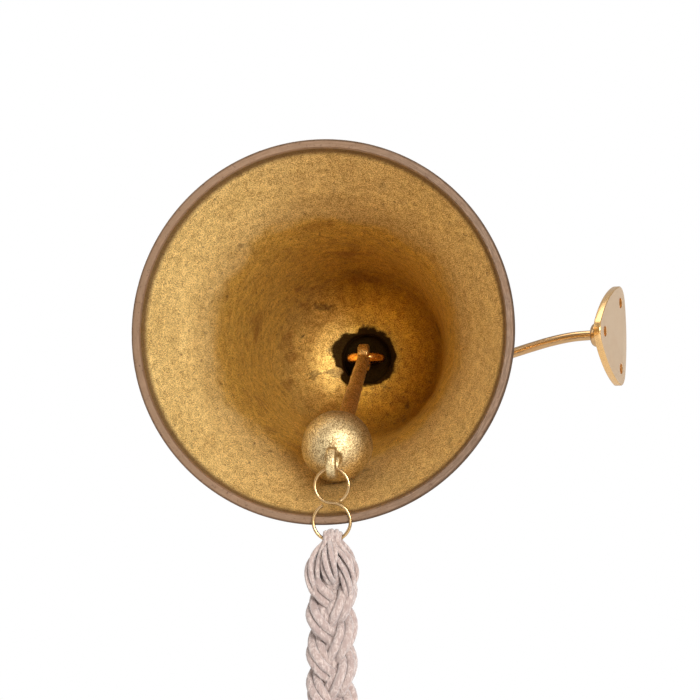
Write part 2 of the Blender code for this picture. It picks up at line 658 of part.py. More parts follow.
def hook_points():
    """The wire's centre line in the local X-Z plane: a loop, the crossing, then the other loop."""
    upper = arc((0.0, -UPPER_LOOP_RADIUS), UPPER_LOOP_RADIUS, HOOK_GAP_ANGLE - math.pi / 2,
                1.5 * math.pi, 22)
    crossing = -2 * UPPER_LOOP_RADIUS
    lower = arc((0.0, crossing - LOWER_LOOP_RADIUS), LOWER_LOOP_RADIUS, math.pi / 2,
                HOOK_GAP_ANGLE - 1.5 * math.pi, 24)
    return [Vector((x, 0.0, z)) for x, z in upper + lower[1:]]


def make_hook(parts, material):
    root = pivot_empty("hook_pivot", hook_matrix(), parts)
    tube("s_hook", hook_points(), WIRE_RADIUS, parts, material, root, 2)
    return root


# ---------------------------------------------------------------- lanyard

def make_lanyard(parts, material):
    """The rope's bight through the hook, its plaited body, its end knot and the cut tail."""
    root = pivot_empty("lanyard_pivot", lanyard_matrix(), parts)
    bend = BIGHT_CORD_RADIUS + WIRE_RADIUS + GAP
    over = [Vector((0.0, y, z)) for y, z in arc((0.0, 0.0), bend, math.pi, 0.0, 9)]
    legs = [Vector((0.0, -bend, -BIGHT_DROP)), *over, Vector((0.0, bend, -BIGHT_DROP))]
    tube("lanyard_bight", legs, BIGHT_CORD_RADIUS, parts, material, root, 3)
    top = -BIGHT_DROP - GAP
    low = top - ROPE_LENGTH
    shoulder = arc((ROPE_NECK_RADIUS, top - (ROPE_RADIUS - ROPE_NECK_RADIUS)),
                   ROPE_RADIUS - ROPE_NECK_RADIUS, math.pi / 2, 0.0, 5)
    turned("lanyard_rope", [(0.0, top), *shoulder, (ROPE_RADIUS, low), (0.0, low)],
           parts, material, root, 24)
    middle = low - GAP - KNOT_HEIGHT / 2
    knot = [(KNOT_RADIUS * math.cos(a), middle + KNOT_HEIGHT / 2 * math.sin(a))
            for a in (math.radians(80.0 - 16.0 * i) for i in range(11))]
    turned("lanyard_knot", [(0.0, knot[0][1]), *knot, (0.0, knot[-1][1])], parts, material, root, 24)
    tail_top = knot[-1][1] - GAP
    turned("lanyard_tail", [(0.0, tail_top), (TAIL_RADIUS - 1.5 * MM, tail_top),
                            (TAIL_RADIUS, tail_top - TAIL_LENGTH), (0.0, tail_top - TAIL_LENGTH)],
           parts, material, root, 20)
    return root


# ---------------------------------------------------------------- the whole object

def parent_keeping_place(child, parent):
    matrix = child.matrix_world.copy()
    child.parent = parent
    child.matrix_world = matrix


def main():
    clear_scene()
    parts = new_collection("ship_bell")
    cutters = new_collection("cutters", hidden=True)
    materials = {
        "polished_brass": make_material("polished_brass", BRASS, 0.18, 1.0),
        "plate_brass": make_material("plate_brass", SANDED_BRASS, 0.45, 1.0),
        "cast_brass": make_material("cast_brass", CAST_BRASS, 0.5, 1.0),
        "coppery_brass": make_material("coppery_brass", COPPERY, 0.3, 1.0),
        "cotton": make_material("cotton", COTTON, 0.9, 0.0),
    }
    bracket = make_bracket(parts, cutters, materials)
    yoke = make_yoke(parts, cutters, materials)
    bell = make_bell(parts, cutters, materials)
    clapper = make_clapper(parts, cutters, materials["cast_brass"])
    hook = make_hook(parts, materials["polished_brass"])
    lanyard = make_lanyard(parts, materials["cotton"])
    bpy.context.view_layer.update()
    chain = (bracket, yoke, bell, clapper, hook, lanyard)
    for parent, child in zip(chain, chain[1:]):
        parent_keeping_place(child, parent)
        bpy.context.view_layer.update()


main()
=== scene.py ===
"""Builds the brass ship bell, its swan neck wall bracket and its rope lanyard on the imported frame."""

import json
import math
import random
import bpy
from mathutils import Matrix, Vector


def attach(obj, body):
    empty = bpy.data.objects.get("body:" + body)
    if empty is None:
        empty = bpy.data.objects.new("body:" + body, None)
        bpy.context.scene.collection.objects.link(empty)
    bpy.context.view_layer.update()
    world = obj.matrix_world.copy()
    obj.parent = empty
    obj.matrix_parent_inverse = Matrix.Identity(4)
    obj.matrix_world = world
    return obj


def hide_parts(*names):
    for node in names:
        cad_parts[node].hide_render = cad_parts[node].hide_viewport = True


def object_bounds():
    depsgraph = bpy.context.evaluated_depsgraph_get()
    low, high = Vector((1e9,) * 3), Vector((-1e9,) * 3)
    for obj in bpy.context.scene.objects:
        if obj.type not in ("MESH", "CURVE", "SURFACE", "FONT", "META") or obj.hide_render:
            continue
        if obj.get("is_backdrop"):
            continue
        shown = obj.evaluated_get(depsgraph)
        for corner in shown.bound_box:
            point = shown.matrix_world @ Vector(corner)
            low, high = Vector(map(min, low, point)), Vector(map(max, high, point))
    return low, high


bl_info = {
    "name": "Ship Bell",
    "version": (1, 0, 0),
    "blender": (4, 5, 0),
    "location": "View3D > Sidebar > Ship Bell",
    "description": "Models a brass ship bell on a wall bracket with its clapper, hook and lanyard",
    "category": "Add Mesh",
}

import bmesh
import bpy
from bpy.props import FloatProperty, FloatVectorProperty, IntProperty, PointerProperty
from mathutils import Matrix, Vector, noise

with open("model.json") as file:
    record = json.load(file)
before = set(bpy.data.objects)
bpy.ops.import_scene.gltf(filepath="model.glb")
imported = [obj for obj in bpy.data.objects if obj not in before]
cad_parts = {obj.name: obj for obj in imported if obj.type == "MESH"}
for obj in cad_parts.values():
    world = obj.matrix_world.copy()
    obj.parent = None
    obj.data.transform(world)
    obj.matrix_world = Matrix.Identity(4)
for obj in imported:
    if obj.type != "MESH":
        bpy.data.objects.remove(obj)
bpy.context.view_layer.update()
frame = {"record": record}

MM = 0.001
WELD = 1e-6
SEED = 7
GAP = 0.3 * MM  # kept between pieces that touch
CURVE_STEPS = 16  # fine steps between two points of a smooth line
CLAPPER_HEIGHT = 132.6 * MM  # the clapper's hinge above the mouth
RECESS_LIMIT = (13.5, 150.5)  # radius and height, in millimetres, that hold the crown recess
HALF_WALL = 1.6  # millimetres out from the inner wall that still count as the inside


def joint_named(name):
    return next(j for j in frame["record"]["behaviour"]["joints"] if j["name"] == name)


def joint_place(name):
    """A frame on a joint: X along its axis, Z up."""
    found = joint_named(name)
    across = Vector(found["axis"]).normalized()
    up = Vector((0.0, 0.0, 1.0))
    return frame_from(across, up.cross(across), Vector(found["pos_m"]))


def frame_from(x, y, origin):
    turn = Matrix((x, y, x.cross(y))).transposed().to_4x4()
    return Matrix.Translation(origin) @ turn


BOLT = joint_place("bell_swing")  # X along the pivot bolt, Z up
ACROSS = BOLT.to_3x3() @ Vector((1.0, 0.0, 0.0))
BELL = frame_from(ACROSS, Vector((0.0, 0.0, -1.0)), BOLT.translation)  # Z up the bell's axis
HOOK = joint_place("hook_swing")
LANYARD = joint_place("lanyard_swing")
HERE = Matrix.Identity(4)  # for pieces made in their own place

# Inner and outer wall of the bell as (radius, height above the mouth), in millimetres
INNER_WALL = [(71.3, 0.7), (71.0, 2.6), (69.4, 5.2), (66.2, 10.4), (62.0, 17.0), (54.6, 29.0), (49.0, 42.0),
              (45.0, 57.0), (42.0, 76.0), (39.8, 95.0), (37.2, 113.0), (33.0, 126.5), (25.5, 136.0),
              (17.0, 140.6), (12.4, 141.5)]
OUTER_WALL = [(75.0, 1.9), (74.3, 4.4), (72.0, 9.4), (67.6, 17.0), (59.6, 29.0), (53.4, 42.0), (49.0, 57.0),
              (45.8, 76.0), (43.4, 95.0), (40.8, 114.0), (36.4, 129.5), (28.6, 141.5), (20.0, 148.2),
              (15.2, 149.6)]

# The arm's centre line, in its own upright plane, as (x, z) in millimetres
ARM_ROUTE = [(-3.5, 0.0), (-10.2, 0.0), (-20.0, -0.5), (-30.0, -2.2), (-40.0, -4.7), (-50.0, -7.4),
             (-60.0, -9.4), (-69.0, -9.6), (-77.0, -7.0), (-84.0, -1.0), (-89.0, 7.5), (-93.0, 17.0),
             (-97.5, 25.5), (-103.5, 31.0), (-109.8, 31.2), (-114.4, 27.0), (-116.0, 20.0), (-116.0, 9.0)]


# ---------------------------------------------------------------- sizes and colours

def length(name, description, millimetres):
    return FloatProperty(name=name, description=description, default=millimetres * MM, min=0.0, unit="LENGTH",
                         precision=4)


def colour(name, description, value):
    return FloatVectorProperty(name=name, description=description, default=value, min=0.0, max=1.0,
                               subtype="COLOR", size=3)


class SHIPBELL_PG_bell(bpy.types.PropertyGroup):
    """Sizes of the bell and what hangs in it."""

    mouth_radius: length("Mouth radius", "Radius of the bell's lip, outside", 75.0)
    lip_width: length("Lip width", "Width of the turned face of the lip", 3.4)
    pivot_height: length("Pivot height", "From the plane of the mouth to the pivot bolt", 164.0)
    crown_top: length("Crown top", "Height of the crown's top face above the mouth", 154.0)
    crown_thickness: length("Crown thickness", "Metal over the crown recess", 4.0)
    recess_radius: length("Recess radius", "Radius of the recess under the crown", 11.0)
    stud_radius: length("Stud radius", "Radius of the crown eye's stud", 2.6)
    turns: IntProperty(name="Steps round", description="Faces round the bell", default=320, min=32, max=720)
    ball_radius: length("Ball radius", "Radius of the clapper's ball", 14.0)
    clapper_length: length("Clapper length", "From the crown eye to the ball's centre", 123.0)
    clapper_lean: FloatProperty(name="Clapper lean",
                                description="How far the clapper lies below the bell's axis",
                                default=math.radians(21.0), subtype="ANGLE")
    clapper_rock: FloatProperty(name="Clapper rock", description="How far the clapper leans to one side",
                                default=math.radians(1.8), subtype="ANGLE")
    eye_radius: length("Crown eye radius", "Centre line radius of the crown eye", 6.8)
    eye_rod: length("Crown eye rod", "Rod radius of the crown eye", 2.0)


class SHIPBELL_PG_bracket(bpy.types.PropertyGroup):
    """Sizes of the wall plate, the arm and the pivot."""

    hole_ring: length("Hole ring", "Radius of the circle of screw holes", 17.0)
    corner: length("Corner", "Radius of the plate's corners", 7.5)
    side: length("Side", "Radius of the plate's bulged sides", 60.0)
    thickness: length("Thickness", "Thickness of the wall plate", 3.2)
    hole: length("Screw hole", "Radius of a screw hole", 2.3)
    arm: length("Arm", "Radius of the arm's rod", 2.2)
    bolt: length("Bolt", "Radius of the pivot bolt", 2.5)
    cheek: length("Cheek", "Radius of the yoke's rounded cheeks", 6.5)


class SHIPBELL_PG_lanyard(bpy.types.PropertyGroup):
    """Sizes of the hook and the rope."""

    wire: length("Hook wire", "Radius of the hook's wire", 0.65)
    upper_loop: length("Upper loop", "Centre line radius of the hook's upper loop", 6.6)
    lower_loop: length("Lower loop", "Centre line radius of the hook's lower loop", 7.2)
    yarn: length("Yarn", "Radius of one cotton yarn", 1.75)
    rope_length: length("Rope length", "Length of the plaited body", 125.0)
    rope_diameter: length("Rope diameter", "Width of the plaited body", 22.0)
    knot_height: length("Knot height", "Height of the end knot", 24.0)
    tail_length: length("Tail length", "Length of the loose strands", 30.0)


class SHIPBELL_PG_finish(bpy.types.PropertyGroup):
    """Colours of the metals and the cotton."""

    polished: colour("Polished brass", "Outside of the bell and its fittings", (0.86, 0.60, 0.27))
    cast: colour("Cast brass", "Sand cast inside of the bell", (0.80, 0.60, 0.235))
    lip: colour("Lip", "Turned face of the lip", (0.29, 0.18, 0.11))
    copper: colour("Crown eye", "Coppery crown eye", (0.80, 0.38, 0.10))
    plate: colour("Plate", "Sanded back of the wall plate", (0.78, 0.60, 0.42))
    cotton: colour("Cotton", "Undyed cotton", (0.44, 0.355, 0.315))


# ---------------------------------------------------------------- shape helpers

def smooth_line(points, step):
    """Points a step apart along the smooth curve through the given ones."""
    points = [Vector(p) for p in points]
    ends = [2 * points[0] - points[1], *points, 2 * points[-1] - points[-2]]
    fine = []
    for a, b, c, d in zip(ends, ends[1:], ends[2:], ends[3:]):
        for i in range(CURVE_STEPS):
            t = i / CURVE_STEPS
            fine.append(0.5 * (2 * b + (c - a) * t + (2 * a - 5 * b + 4 * c - d) * t * t
                               + (3 * b - a - 3 * c + d) * t ** 3))
    fine.append(points[-1])
    total = sum((q - p).length for p, q in zip(fine, fine[1:]))
    count = max(2, round(total / step))
    line = [fine[0]]
    run = 0.0
    for p, q in zip(fine, fine[1:]):
        span = (q - p).length
        while len(line) < count and run + span >= len(line) * total / count:
            line.append(p.lerp(q, (len(line) * total / count - run) / span))
        run += span
    line.append(fine[-1])
    return line


def arc(centre, radius, start, end, count):
    """Points (x, z) along an arc, its angles in degrees from +X towards +Z."""
    steps = [math.radians(start + (end - start) * i / (count - 1)) for i in range(count)]
    return [(centre[0] + radius * math.cos(a), centre[1] + radius * math.sin(a)) for a in steps]


def spun(profile, steps, closed=False):
    """A profile of (radius, height) spun about Z."""
    shape = bmesh.new()
    verts = [shape.verts.new((r, 0.0, h)) for r, h in profile]
    edges = [shape.edges.new(pair) for pair in zip(verts, verts[1:])]
    if closed:
        edges.append(shape.edges.new((verts[-1], verts[0])))
    bmesh.ops.spin(shape, geom=verts + edges, cent=(0.0, 0.0, 0.0), axis=(0.0, 0.0, 1.0),
                   dvec=(0.0, 0.0, 0.0), angle=math.tau, steps=steps, use_merge=True,
                   use_normal_flip=False, use_duplicate=False)
    bmesh.ops.remove_doubles(shape, verts=shape.verts, dist=WELD)
    bmesh.ops.recalc_face_normals(shape, faces=shape.faces)
    return shape


def soften(shape, width, angle=30.0, segments=3):
    """Bevels every edge sharper than the angle."""
    limit = math.radians(angle)
    sharp = [e for e in shape.edges if len(e.link_faces) == 2 and e.calc_face_angle(0.0) > limit]
    bmesh.ops.bevel(shape, geom=sharp, offset=width, offset_type="OFFSET", segments=segments, profile=0.5,
                    affect="EDGES", clamp_overlap=True, material=-1)


def rod(points, radius, resolution=6, cyclic=False, radii=None):
    """A round rod along the points, as a mesh shape."""
    curve = bpy.data.curves.new("rod", "CURVE")
    curve.dimensions = "3D"
    curve.bevel_depth = radius
    curve.bevel_resolution = resolution
    curve.use_fill_caps = not cyclic
    spline = curve.splines.new("POLY")
    spline.points.add(len(points) - 1)
    for i, (point, place) in enumerate(zip(spline.points, points)):
        point.co = (*place, 1.0)
        point.radius = radii[i] if radii else 1.0
    spline.use_cyclic_u = cyclic
    holder = bpy.data.objects.new("rod", curve)
    bpy.context.scene.collection.objects.link(holder)
    shape = shape_of(holder)
    bpy.data.objects.remove(holder, do_unlink=True)
    bpy.data.curves.remove(curve)
    return shape


def shape_of(holder):
    """The evaluated mesh of an object, welded, as a shape."""
    bpy.context.view_layer.update()
    mesh = bpy.data.meshes.new_from_object(holder.evaluated_get(bpy.context.evaluated_depsgraph_get()))
    shape = bmesh.new()
    shape.from_mesh(mesh)
    bpy.data.meshes.remove(mesh)
    bmesh.ops.remove_doubles(shape, verts=shape.verts, dist=WELD)
    return shape


def holder_of(shape, name="holder"):
    """A plain object that holds a shape for a modifier."""
    mesh = bpy.data.meshes.new(name)
    shape.to_mesh(mesh)
    shape.free()
    holder = bpy.data.objects.new(name, mesh)
    bpy.context.scene.collection.objects.link(holder)
    return holder


def joined(shapes):
    """Several shapes as one, still separate inside it."""
    whole = bmesh.new()
    for shape in shapes:
        mesh = bpy.data.meshes.new("part")
        shape.to_mesh(mesh)
        shape.free()
        whole.from_mesh(mesh)
        bpy.data.meshes.remove(mesh)
    return whole


def carved(body, cutters, operation="DIFFERENCE"):
    """A body with every cutter taken out of it, or what they share."""
    holder = holder_of(body)
    tools = [holder_of(shape, "cutter") for shape in cutters]
    for tool in tools:
        cut = holder.modifiers.new("Cut", "BOOLEAN")
        cut.operation = operation
        cut.solver = "EXACT"
        cut.object = tool
    shape = shape_of(holder)
    for item in (holder, *tools):
        bpy.data.objects.remove(item, do_unlink=True)
    return shape


def cast_together(shapes, voxel, smoothing):
    """Shapes run into one casting with soft fillets where they meet."""
    holder = holder_of(joined(shapes))
    remesh = holder.modifiers.new("Cast", "REMESH")
    remesh.mode = "VOXEL"
    remesh.voxel_size = voxel
    shape = shape_of(holder)
    bpy.data.objects.remove(holder, do_unlink=True)
    for _ in range(smoothing):
        bmesh.ops.smooth_vert(shape, verts=shape.verts, factor=0.5, use_axis_x=True, use_axis_y=True,
                              use_axis_z=True)
    bmesh.ops.recalc_face_normals(shape, faces=shape.faces)
    return shape


def cylinder(radius, low, high, segments=48, top=None):
    shape = bmesh.new()
    bmesh.ops.create_cone(shape, cap_ends=True, cap_tris=False, segments=segments, radius1=radius,
                          radius2=radius if top is None else top, depth=high - low)
    bmesh.ops.translate(shape, verts=shape.verts, vec=(0.0, 0.0, (high + low) / 2))
    return shape


def block(size, middle):
    shape = bmesh.new()
    bmesh.ops.create_cube(shape, size=1.0)
    bmesh.ops.scale(shape, verts=shape.verts, vec=size)
    bmesh.ops.translate(shape, verts=shape.verts, vec=middle)
    return shape


def extruded(outline, x, depth):
    """A flat outline of (y, z) at one X, extruded along X."""
    shape = bmesh.new()
    face = shape.faces.new([shape.verts.new((x, y, z)) for y, z in outline])
    grown = bmesh.ops.extrude_face_region(shape, geom=[face])
    moving = [v for v in grown["geom"] if isinstance(v, bmesh.types.BMVert)]
    bmesh.ops.translate(shape, verts=moving, vec=(depth, 0.0, 0.0))
    bmesh.ops.recalc_face_normals(shape, faces=shape.faces)
    return shape


def moved(shape, matrix):
    bmesh.ops.transform(shape, matrix=matrix, verts=shape.verts)
    return shape


def along_x(shape, place=(0.0, 0.0, 0.0)):
    """Lays a shape made along Z along +X."""
    return moved(shape, Matrix.Translation(place) @ Matrix.Rotation(math.radians(90.0), 4, "Y"))


def roughened(shape, amount, scale):
    """Moves the surface in and out a little, as sand casting leaves it."""
    shape.normal_update()
    shifts = [(v, v.normal * amount * noise.noise(v.co * scale)) for v in shape.verts]
    for vert, shift in shifts:
        vert.co += shift


def put(shape, name, place, body, node, finishes, sharp=35.0, also=()):
    """Writes a shape into its place, hangs it on its body and hides the imported nodes that it stands for."""
    moved(shape, place)
    mesh = bpy.data.meshes.new(name)
    shape.to_mesh(mesh)
    shape.free()
    for finish in finishes:
        mesh.materials.append(finish)
    mesh.shade_smooth()
    mesh.set_sharp_from_angle(angle=math.radians(sharp))
    piece = bpy.data.objects.new(name, mesh)
    bpy.context.scene.collection.objects.link(piece)
    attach(piece, body)
    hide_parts(*also, node)
    return piece


# ---------------------------------------------------------------- shader helpers

class Shading:
    """Adds nodes to one tree and wires them."""

    def __init__(self, tree):
        self.tree = tree

    def feed(self, socket, value):
        if isinstance(value, bpy.types.NodeSocket):
            self.tree.links.new(value, socket)
        else:
            socket.default_value = value

    def add(self, kind, inputs=(), **settings):
        node = self.tree.nodes.new(kind)
        for key, value in settings.items():
            setattr(node, key, value)
        for key, value in dict(inputs).items():
            self.feed(node.inputs[key], value)
        return node

    def math(self, operation, a, b=0.0, c=0.0, clamp=False):
        return self.add("ShaderNodeMath", {0: a, 1: b, 2: c}, operation=operation, use_clamp=clamp).outputs[0]

    def times(self, a, b):
        return self.math("MULTIPLY", a, b)

    def line(self, value, slope, start):
        """A value times a slope, plus a start."""
        return self.math("MULTIPLY_ADD", value, slope, start)

    def span(self, value, low, high):
        """A smooth step of a value, 0 at low and 1 at high."""
        return self.add("ShaderNodeMapRange", {"Value": value, "From Min": low, "From Max": high},
                        interpolation_type="SMOOTHSTEP").outputs[0]

    def mix(self, factor, a, b, blend="MIX"):
        node = self.add("ShaderNodeMix", data_type="RGBA", blend_type=blend)
        for index, value in ((0, factor), (6, a), (7, b)):
            plain_colour = isinstance(value, tuple) and len(value) == 3
            self.feed(node.inputs[index], (*value, 1.0) if plain_colour else value)
        return node.outputs[2]

    def noise(self, vector, scale, detail=4.0, roughness=0.5, distortion=0.0):
        return self.add("ShaderNodeTexNoise", {"Vector": vector, "Scale": scale, "Detail": detail,
                                               "Roughness": roughness, "Distortion": distortion}).outputs[0]

    def stretch(self, vector, scale):
        return self.add("ShaderNodeMapping", {"Vector": vector, "Scale": scale}).outputs[0]

    def bump(self, height, strength, distance, normal=None):
        inputs = {"Height": height, "Strength": strength, "Distance": distance}
        if normal is not None:
            inputs["Normal"] = normal
        return self.add("ShaderNodeBump", inputs).outputs[0]

    def object_place(self, place=None):
        """Object coordinates, in the frame of the place where one is given."""
        here = self.add("ShaderNodeTexCoord").outputs["Object"]
        if place is None:
            return here
        return self.add("ShaderNodeMapping", {"Vector": here, "Location": place.translation,
                                              "Rotation": place.to_euler()}, vector_type="TEXTURE").outputs[0]

    def use(self, tree, **inputs):
        """Places a node group with its own values."""
        return self.add("ShaderNodeGroup", inputs, node_tree=tree).outputs

    def patches(self, vector, scale, low, high):
        """A mask of tarnish patches."""
        return self.use(blotches(), Vector=vector, Scale=scale, From=low, To=high)["Mask"]


def shared_group(name, build, outputs, **numbers):
    """A node group made once: a vector and some numbers in, values and masks out."""
    tree = bpy.data.node_groups.get(name)
    if tree:
        return tree
    tree = bpy.data.node_groups.new(name, "ShaderNodeTree")
    tree.interface.new_socket(name="Vector", in_out="INPUT", socket_type="NodeSocketVector")
    for label, default in numbers.items():
        socket = tree.interface.new_socket(name=label, in_out="INPUT", socket_type="NodeSocketFloat")
        socket.default_value = default
    for label in outputs:
        tree.interface.new_socket(name=label, in_out="OUTPUT", socket_type="NodeSocketFloat")
    shading = Shading(tree)
    source = tree.nodes.new("NodeGroupInput")
    sink = tree.nodes.new("NodeGroupOutput")
    for label, value in build(shading, source.outputs).items():
        shading.feed(sink.inputs[label], value)
    return tree


def casting_grain():
    """Sand cast skin: fine bright and dark grains, and their height."""
    def build(s, given):
        vector, scale = given["Vector"], given["Scale"]
        fine = s.noise(vector, scale, 3.0, 0.75)
        coarse = s.noise(vector, s.times(scale, 0.16), 4.0, 0.6)
        pits = s.add("ShaderNodeTexVoronoi", {"Vector": vector, "Scale": s.times(scale, 0.55),
                                              "Randomness": 1.0}).outputs["Distance"]
        pit = s.span(pits, 0.05, 0.34)
        height = s.math("ADD", s.times(fine, 0.9), s.times(coarse, 0.3))
        height = s.times(height, s.line(pit, 0.35, 0.65))
        tone = s.span(s.line(fine, 0.80, s.times(coarse, 0.20)), 0.40, 0.60)
        return {"Tone": tone, "Height": height}

    return shared_group("casting_grain", build, ("Tone", "Height"), Scale=900.0)


def blotches():
    """Patches of tarnish with ragged edges."""
    def build(s, given):
        cloud = s.noise(given["Vector"], given["Scale"], 6.0, 0.62, 0.6)
        return {"Mask": s.span(cloud, given["From"], given["To"])}

    return shared_group("blotches", build, ("Mask",), Scale=40.0, From=0.5, To=0.6)


def turning_marks():
    """Fine rings round the local Z axis, with the radius and the place along and round it."""
    def build(s, given):
        split = s.add("ShaderNodeSeparateXYZ", {"Vector": given["Vector"]}).outputs
        radius = s.math("SQRT", s.math("ADD", s.times(split[0], split[0]),
                                       s.times(split[1], split[1])))
        safe = s.math("MAXIMUM", radius, 0.0005)
        turn_x, turn_y = s.math("DIVIDE", split[0], safe), s.math("DIVIDE", split[1], safe)
        ring = s.add("ShaderNodeCombineXYZ", {
            0: s.times(turn_x, given["Length"]), 1: s.times(turn_y, given["Length"]),
            2: s.math("ADD", split[2], s.times(radius, 1.3))}).outputs[0]
        return {"Rings": s.noise(ring, given["Scale"], 3.0, 0.7), "Radius": radius, "Along": split[2],
                "Cosine": turn_x}

    return shared_group("turning_marks", build, ("Rings", "Radius", "Along", "Cosine"), Length=0.004,
                        Scale=900.0)


def hairlines():
    """Faint straight polishing scratches along the local Z axis."""
    def build(s, given):
        lines = s.noise(s.stretch(given["Vector"], (1.0, 1.0, 0.03)), given["Scale"], 3.0, 0.7)
        cross = s.noise(s.stretch(given["Vector"], (0.05, 1.0, 1.0)), given["Scale"], 2.0, 0.6)
        return {"Lines": s.math("MAXIMUM", s.span(lines, 0.45, 0.75), s.span(cross, 0.6, 0.8))}

    return shared_group("hairlines", build, ("Lines",), Scale=700.0)


def new_finish(name, metallic, roughness=0.4):
    material = bpy.data.materials.new(name)
    material.use_nodes = True
    shader = material.node_tree.nodes["Principled BSDF"]
    shader.inputs["Metallic"].default_value = metallic
    shader.inputs["Roughness"].default_value = roughness
    return material, Shading(material.node_tree), shader


# ---------------------------------------------------------------- finishes

def polished_finish(name, base, rough=0.16, smudge=0.5):
    """Polished brass with finger smudges, hairlines and warm tarnish."""
    material, s, shader = new_finish(name, 1.0)
    here = s.object_place()
    stain = s.patches(here, 28.0, 0.46, 0.72)
    lines = s.use(hairlines(), Vector=here, Scale=650.0)["Lines"]
    warm = (base[0] * 0.82, base[1] * 0.66, base[2] * 0.5)
    tone = s.mix(s.times(stain, 0.55), tuple(base), warm)
    s.feed(shader.inputs["Base Color"], tone)
    haze = s.line(stain, 0.16 * smudge, rough)
    s.feed(shader.inputs["Roughness"], s.line(lines, 0.10, haze))
    waves = s.noise(here, 90.0, 2.0)
    soft = s.bump(waves, 0.25, 0.0006)
    s.feed(shader.inputs["Normal"], s.bump(lines, 0.12, 0.00005, soft))
    return material


def outside_finish(colours):
    """The bell's polished outside, with fine turning rings."""
    material, s, shader = new_finish("bell_outside", 1.0)
    here = s.object_place(BELL)
    marks = s.use(turning_marks(), Vector=here, Length=0.012, Scale=1300.0)
    stain = s.patches(here, 22.0, 0.48, 0.75)
    base = tuple(colours.polished)
    warm = (base[0] * 0.84, base[1] * 0.68, base[2] * 0.5)
    s.feed(shader.inputs["Base Color"], s.mix(s.times(stain, 0.5), base, warm))
    rings = s.span(marks["Rings"], 0.35, 0.7)
    s.feed(shader.inputs["Roughness"], s.math("ADD", s.line(rings, 0.09, 0.12),
                                              s.times(stain, 0.09)))
    s.feed(shader.inputs["Normal"], s.bump(rings, 0.15, 0.00006))
    return material


def inside_finish(colours, sizes):
    """Cast brass inside: a grained flare with painted light and shade on its sides, a scraped and stained
    waist, a mottled dome with painted light and shade, a painted shadow band inside the lip and a recess
    darkened by painted shade.
    """
    material, s, shader = new_finish("bell_inside", 1.0)
    here = s.object_place(BELL)
    marks = s.use(turning_marks(), Vector=here, Length=0.02, Scale=420.0)
    height = s.math("ADD", marks["Along"], sizes.pivot_height)
    grain = s.use(casting_grain(), Vector=here, Scale=2300.0)
    wide = s.patches(here, 34.0, 0.40, 0.68)
    brown = s.patches(s.stretch(here, (1.0, 1.0, 0.7)), 62.0, 0.53, 0.70)
    black = s.patches(here, 150.0, 0.63, 0.72)
    edge = s.line(s.math("SUBTRACT", s.noise(here, 55.0, 5.0, 0.6), 0.5), 0.030, height)
    waist = s.span(edge, 0.033, 0.047)
    dome = s.span(edge, 0.106, 0.124)
    sunlit = s.span(marks["Cosine"], -0.1, -0.85)
    scraped = s.times(s.span(marks["Rings"], 0.42, 0.62), waist)
    flare = tuple(colours.cast)
    olive = (flare[0] * 0.66, flare[1] * 0.60, flare[2] * 0.44)
    tan = (flare[0] * 0.92, flare[1] * 0.76, flare[2] * 0.24)
    umber = (0.31, 0.135, 0.022)
    # Painted light and shade: the flare keeps its full colour on the -X side and fades to a darker copy
    # towards +X, as the key light falls.
    shaded_flare = (flare[0] * 0.74, flare[1] * 0.66, flare[2] * 0.58)
    tone = s.mix(s.span(marks["Cosine"], 0.15, -0.95), shaded_flare, flare)
    tone = s.mix(s.times(wide, 0.28), tone, olive)
    tone = s.mix(s.times(waist, 0.72), tone, tan)
    # Painted light and shade on the dome: a lit copy on the -X side and a darker copy elsewhere.
    deep = s.mix(sunlit, (flare[0] * 0.62, flare[1] * 0.48, flare[2] * 0.14),
                 (flare[0] * 0.88, flare[1] * 0.80, flare[2] * 0.55))
    tone = s.mix(s.times(dome, 0.9), tone, deep)
    tone = s.mix(s.times(scraped, 0.30), tone, umber)
    patches = s.times(brown, s.line(waist, 0.5, 0.12))
    tone = s.mix(patches, tone, umber)
    shade = s.mix(grain["Tone"], (0.42, 0.34, 0.24), (1.32, 1.32, 1.40))
    tone = s.mix(1.0, tone, shade, "MULTIPLY")
    tone = s.mix(s.times(black, s.line(dome, 0.5, 0.35)), tone, (0.05, 0.03, 0.015))
    # Painted shade: the crown recess is painted near black inside a ragged edge, and made rougher.
    ragged = s.line(s.noise(here, 95.0, 5.0, 0.5, 0.6), 0.0120, marks["Radius"])
    recess = s.times(s.span(ragged, 0.0208, 0.0192), s.span(height, 0.128, 0.133))
    # Painted shadow: a dark band on the inner wall just inside the lip, fading out by 5.6 mm above the mouth.
    step = s.times(s.span(height, 0.0056, 0.0030), 0.85)
    tone = s.mix(step, tone, (0.13, 0.065, 0.025))
    dashes = s.span(s.noise(s.stretch(here, (1.0, 1.0, 0.45)), 520.0, 3.0, 0.55), 0.655, 0.70)
    tone = s.mix(s.times(dashes, 0.6), tone, (0.11, 0.055, 0.018))
    soot = s.span(s.noise(here, 70.0, 5.0, 0.6, 0.5), 0.60, 0.66)
    tone = s.mix(s.times(soot, s.times(dome, 0.6)), tone, (0.06, 0.032, 0.012))
    # Painted shade in the crown recess.
    tone = s.mix(s.times(recess, 0.97), tone, (0.030, 0.014, 0.004))
    s.feed(shader.inputs["Base Color"], tone)
    rough = s.line(grain["Tone"], -0.16, 0.62)
    rough = s.line(waist, -0.06, rough)
    s.feed(shader.inputs["Roughness"], s.line(recess, 0.3, rough))
    s.feed(shader.inputs["Metallic"], s.line(recess, 0.25, 0.75))
    fine = s.bump(grain["Height"], 0.9, 0.00016)
    wavy = s.bump(s.noise(here, 110.0, 3.0), 0.45, 0.0008, fine)
    s.feed(shader.inputs["Normal"], s.bump(scraped, 0.3, 0.0001, wavy))
    return material


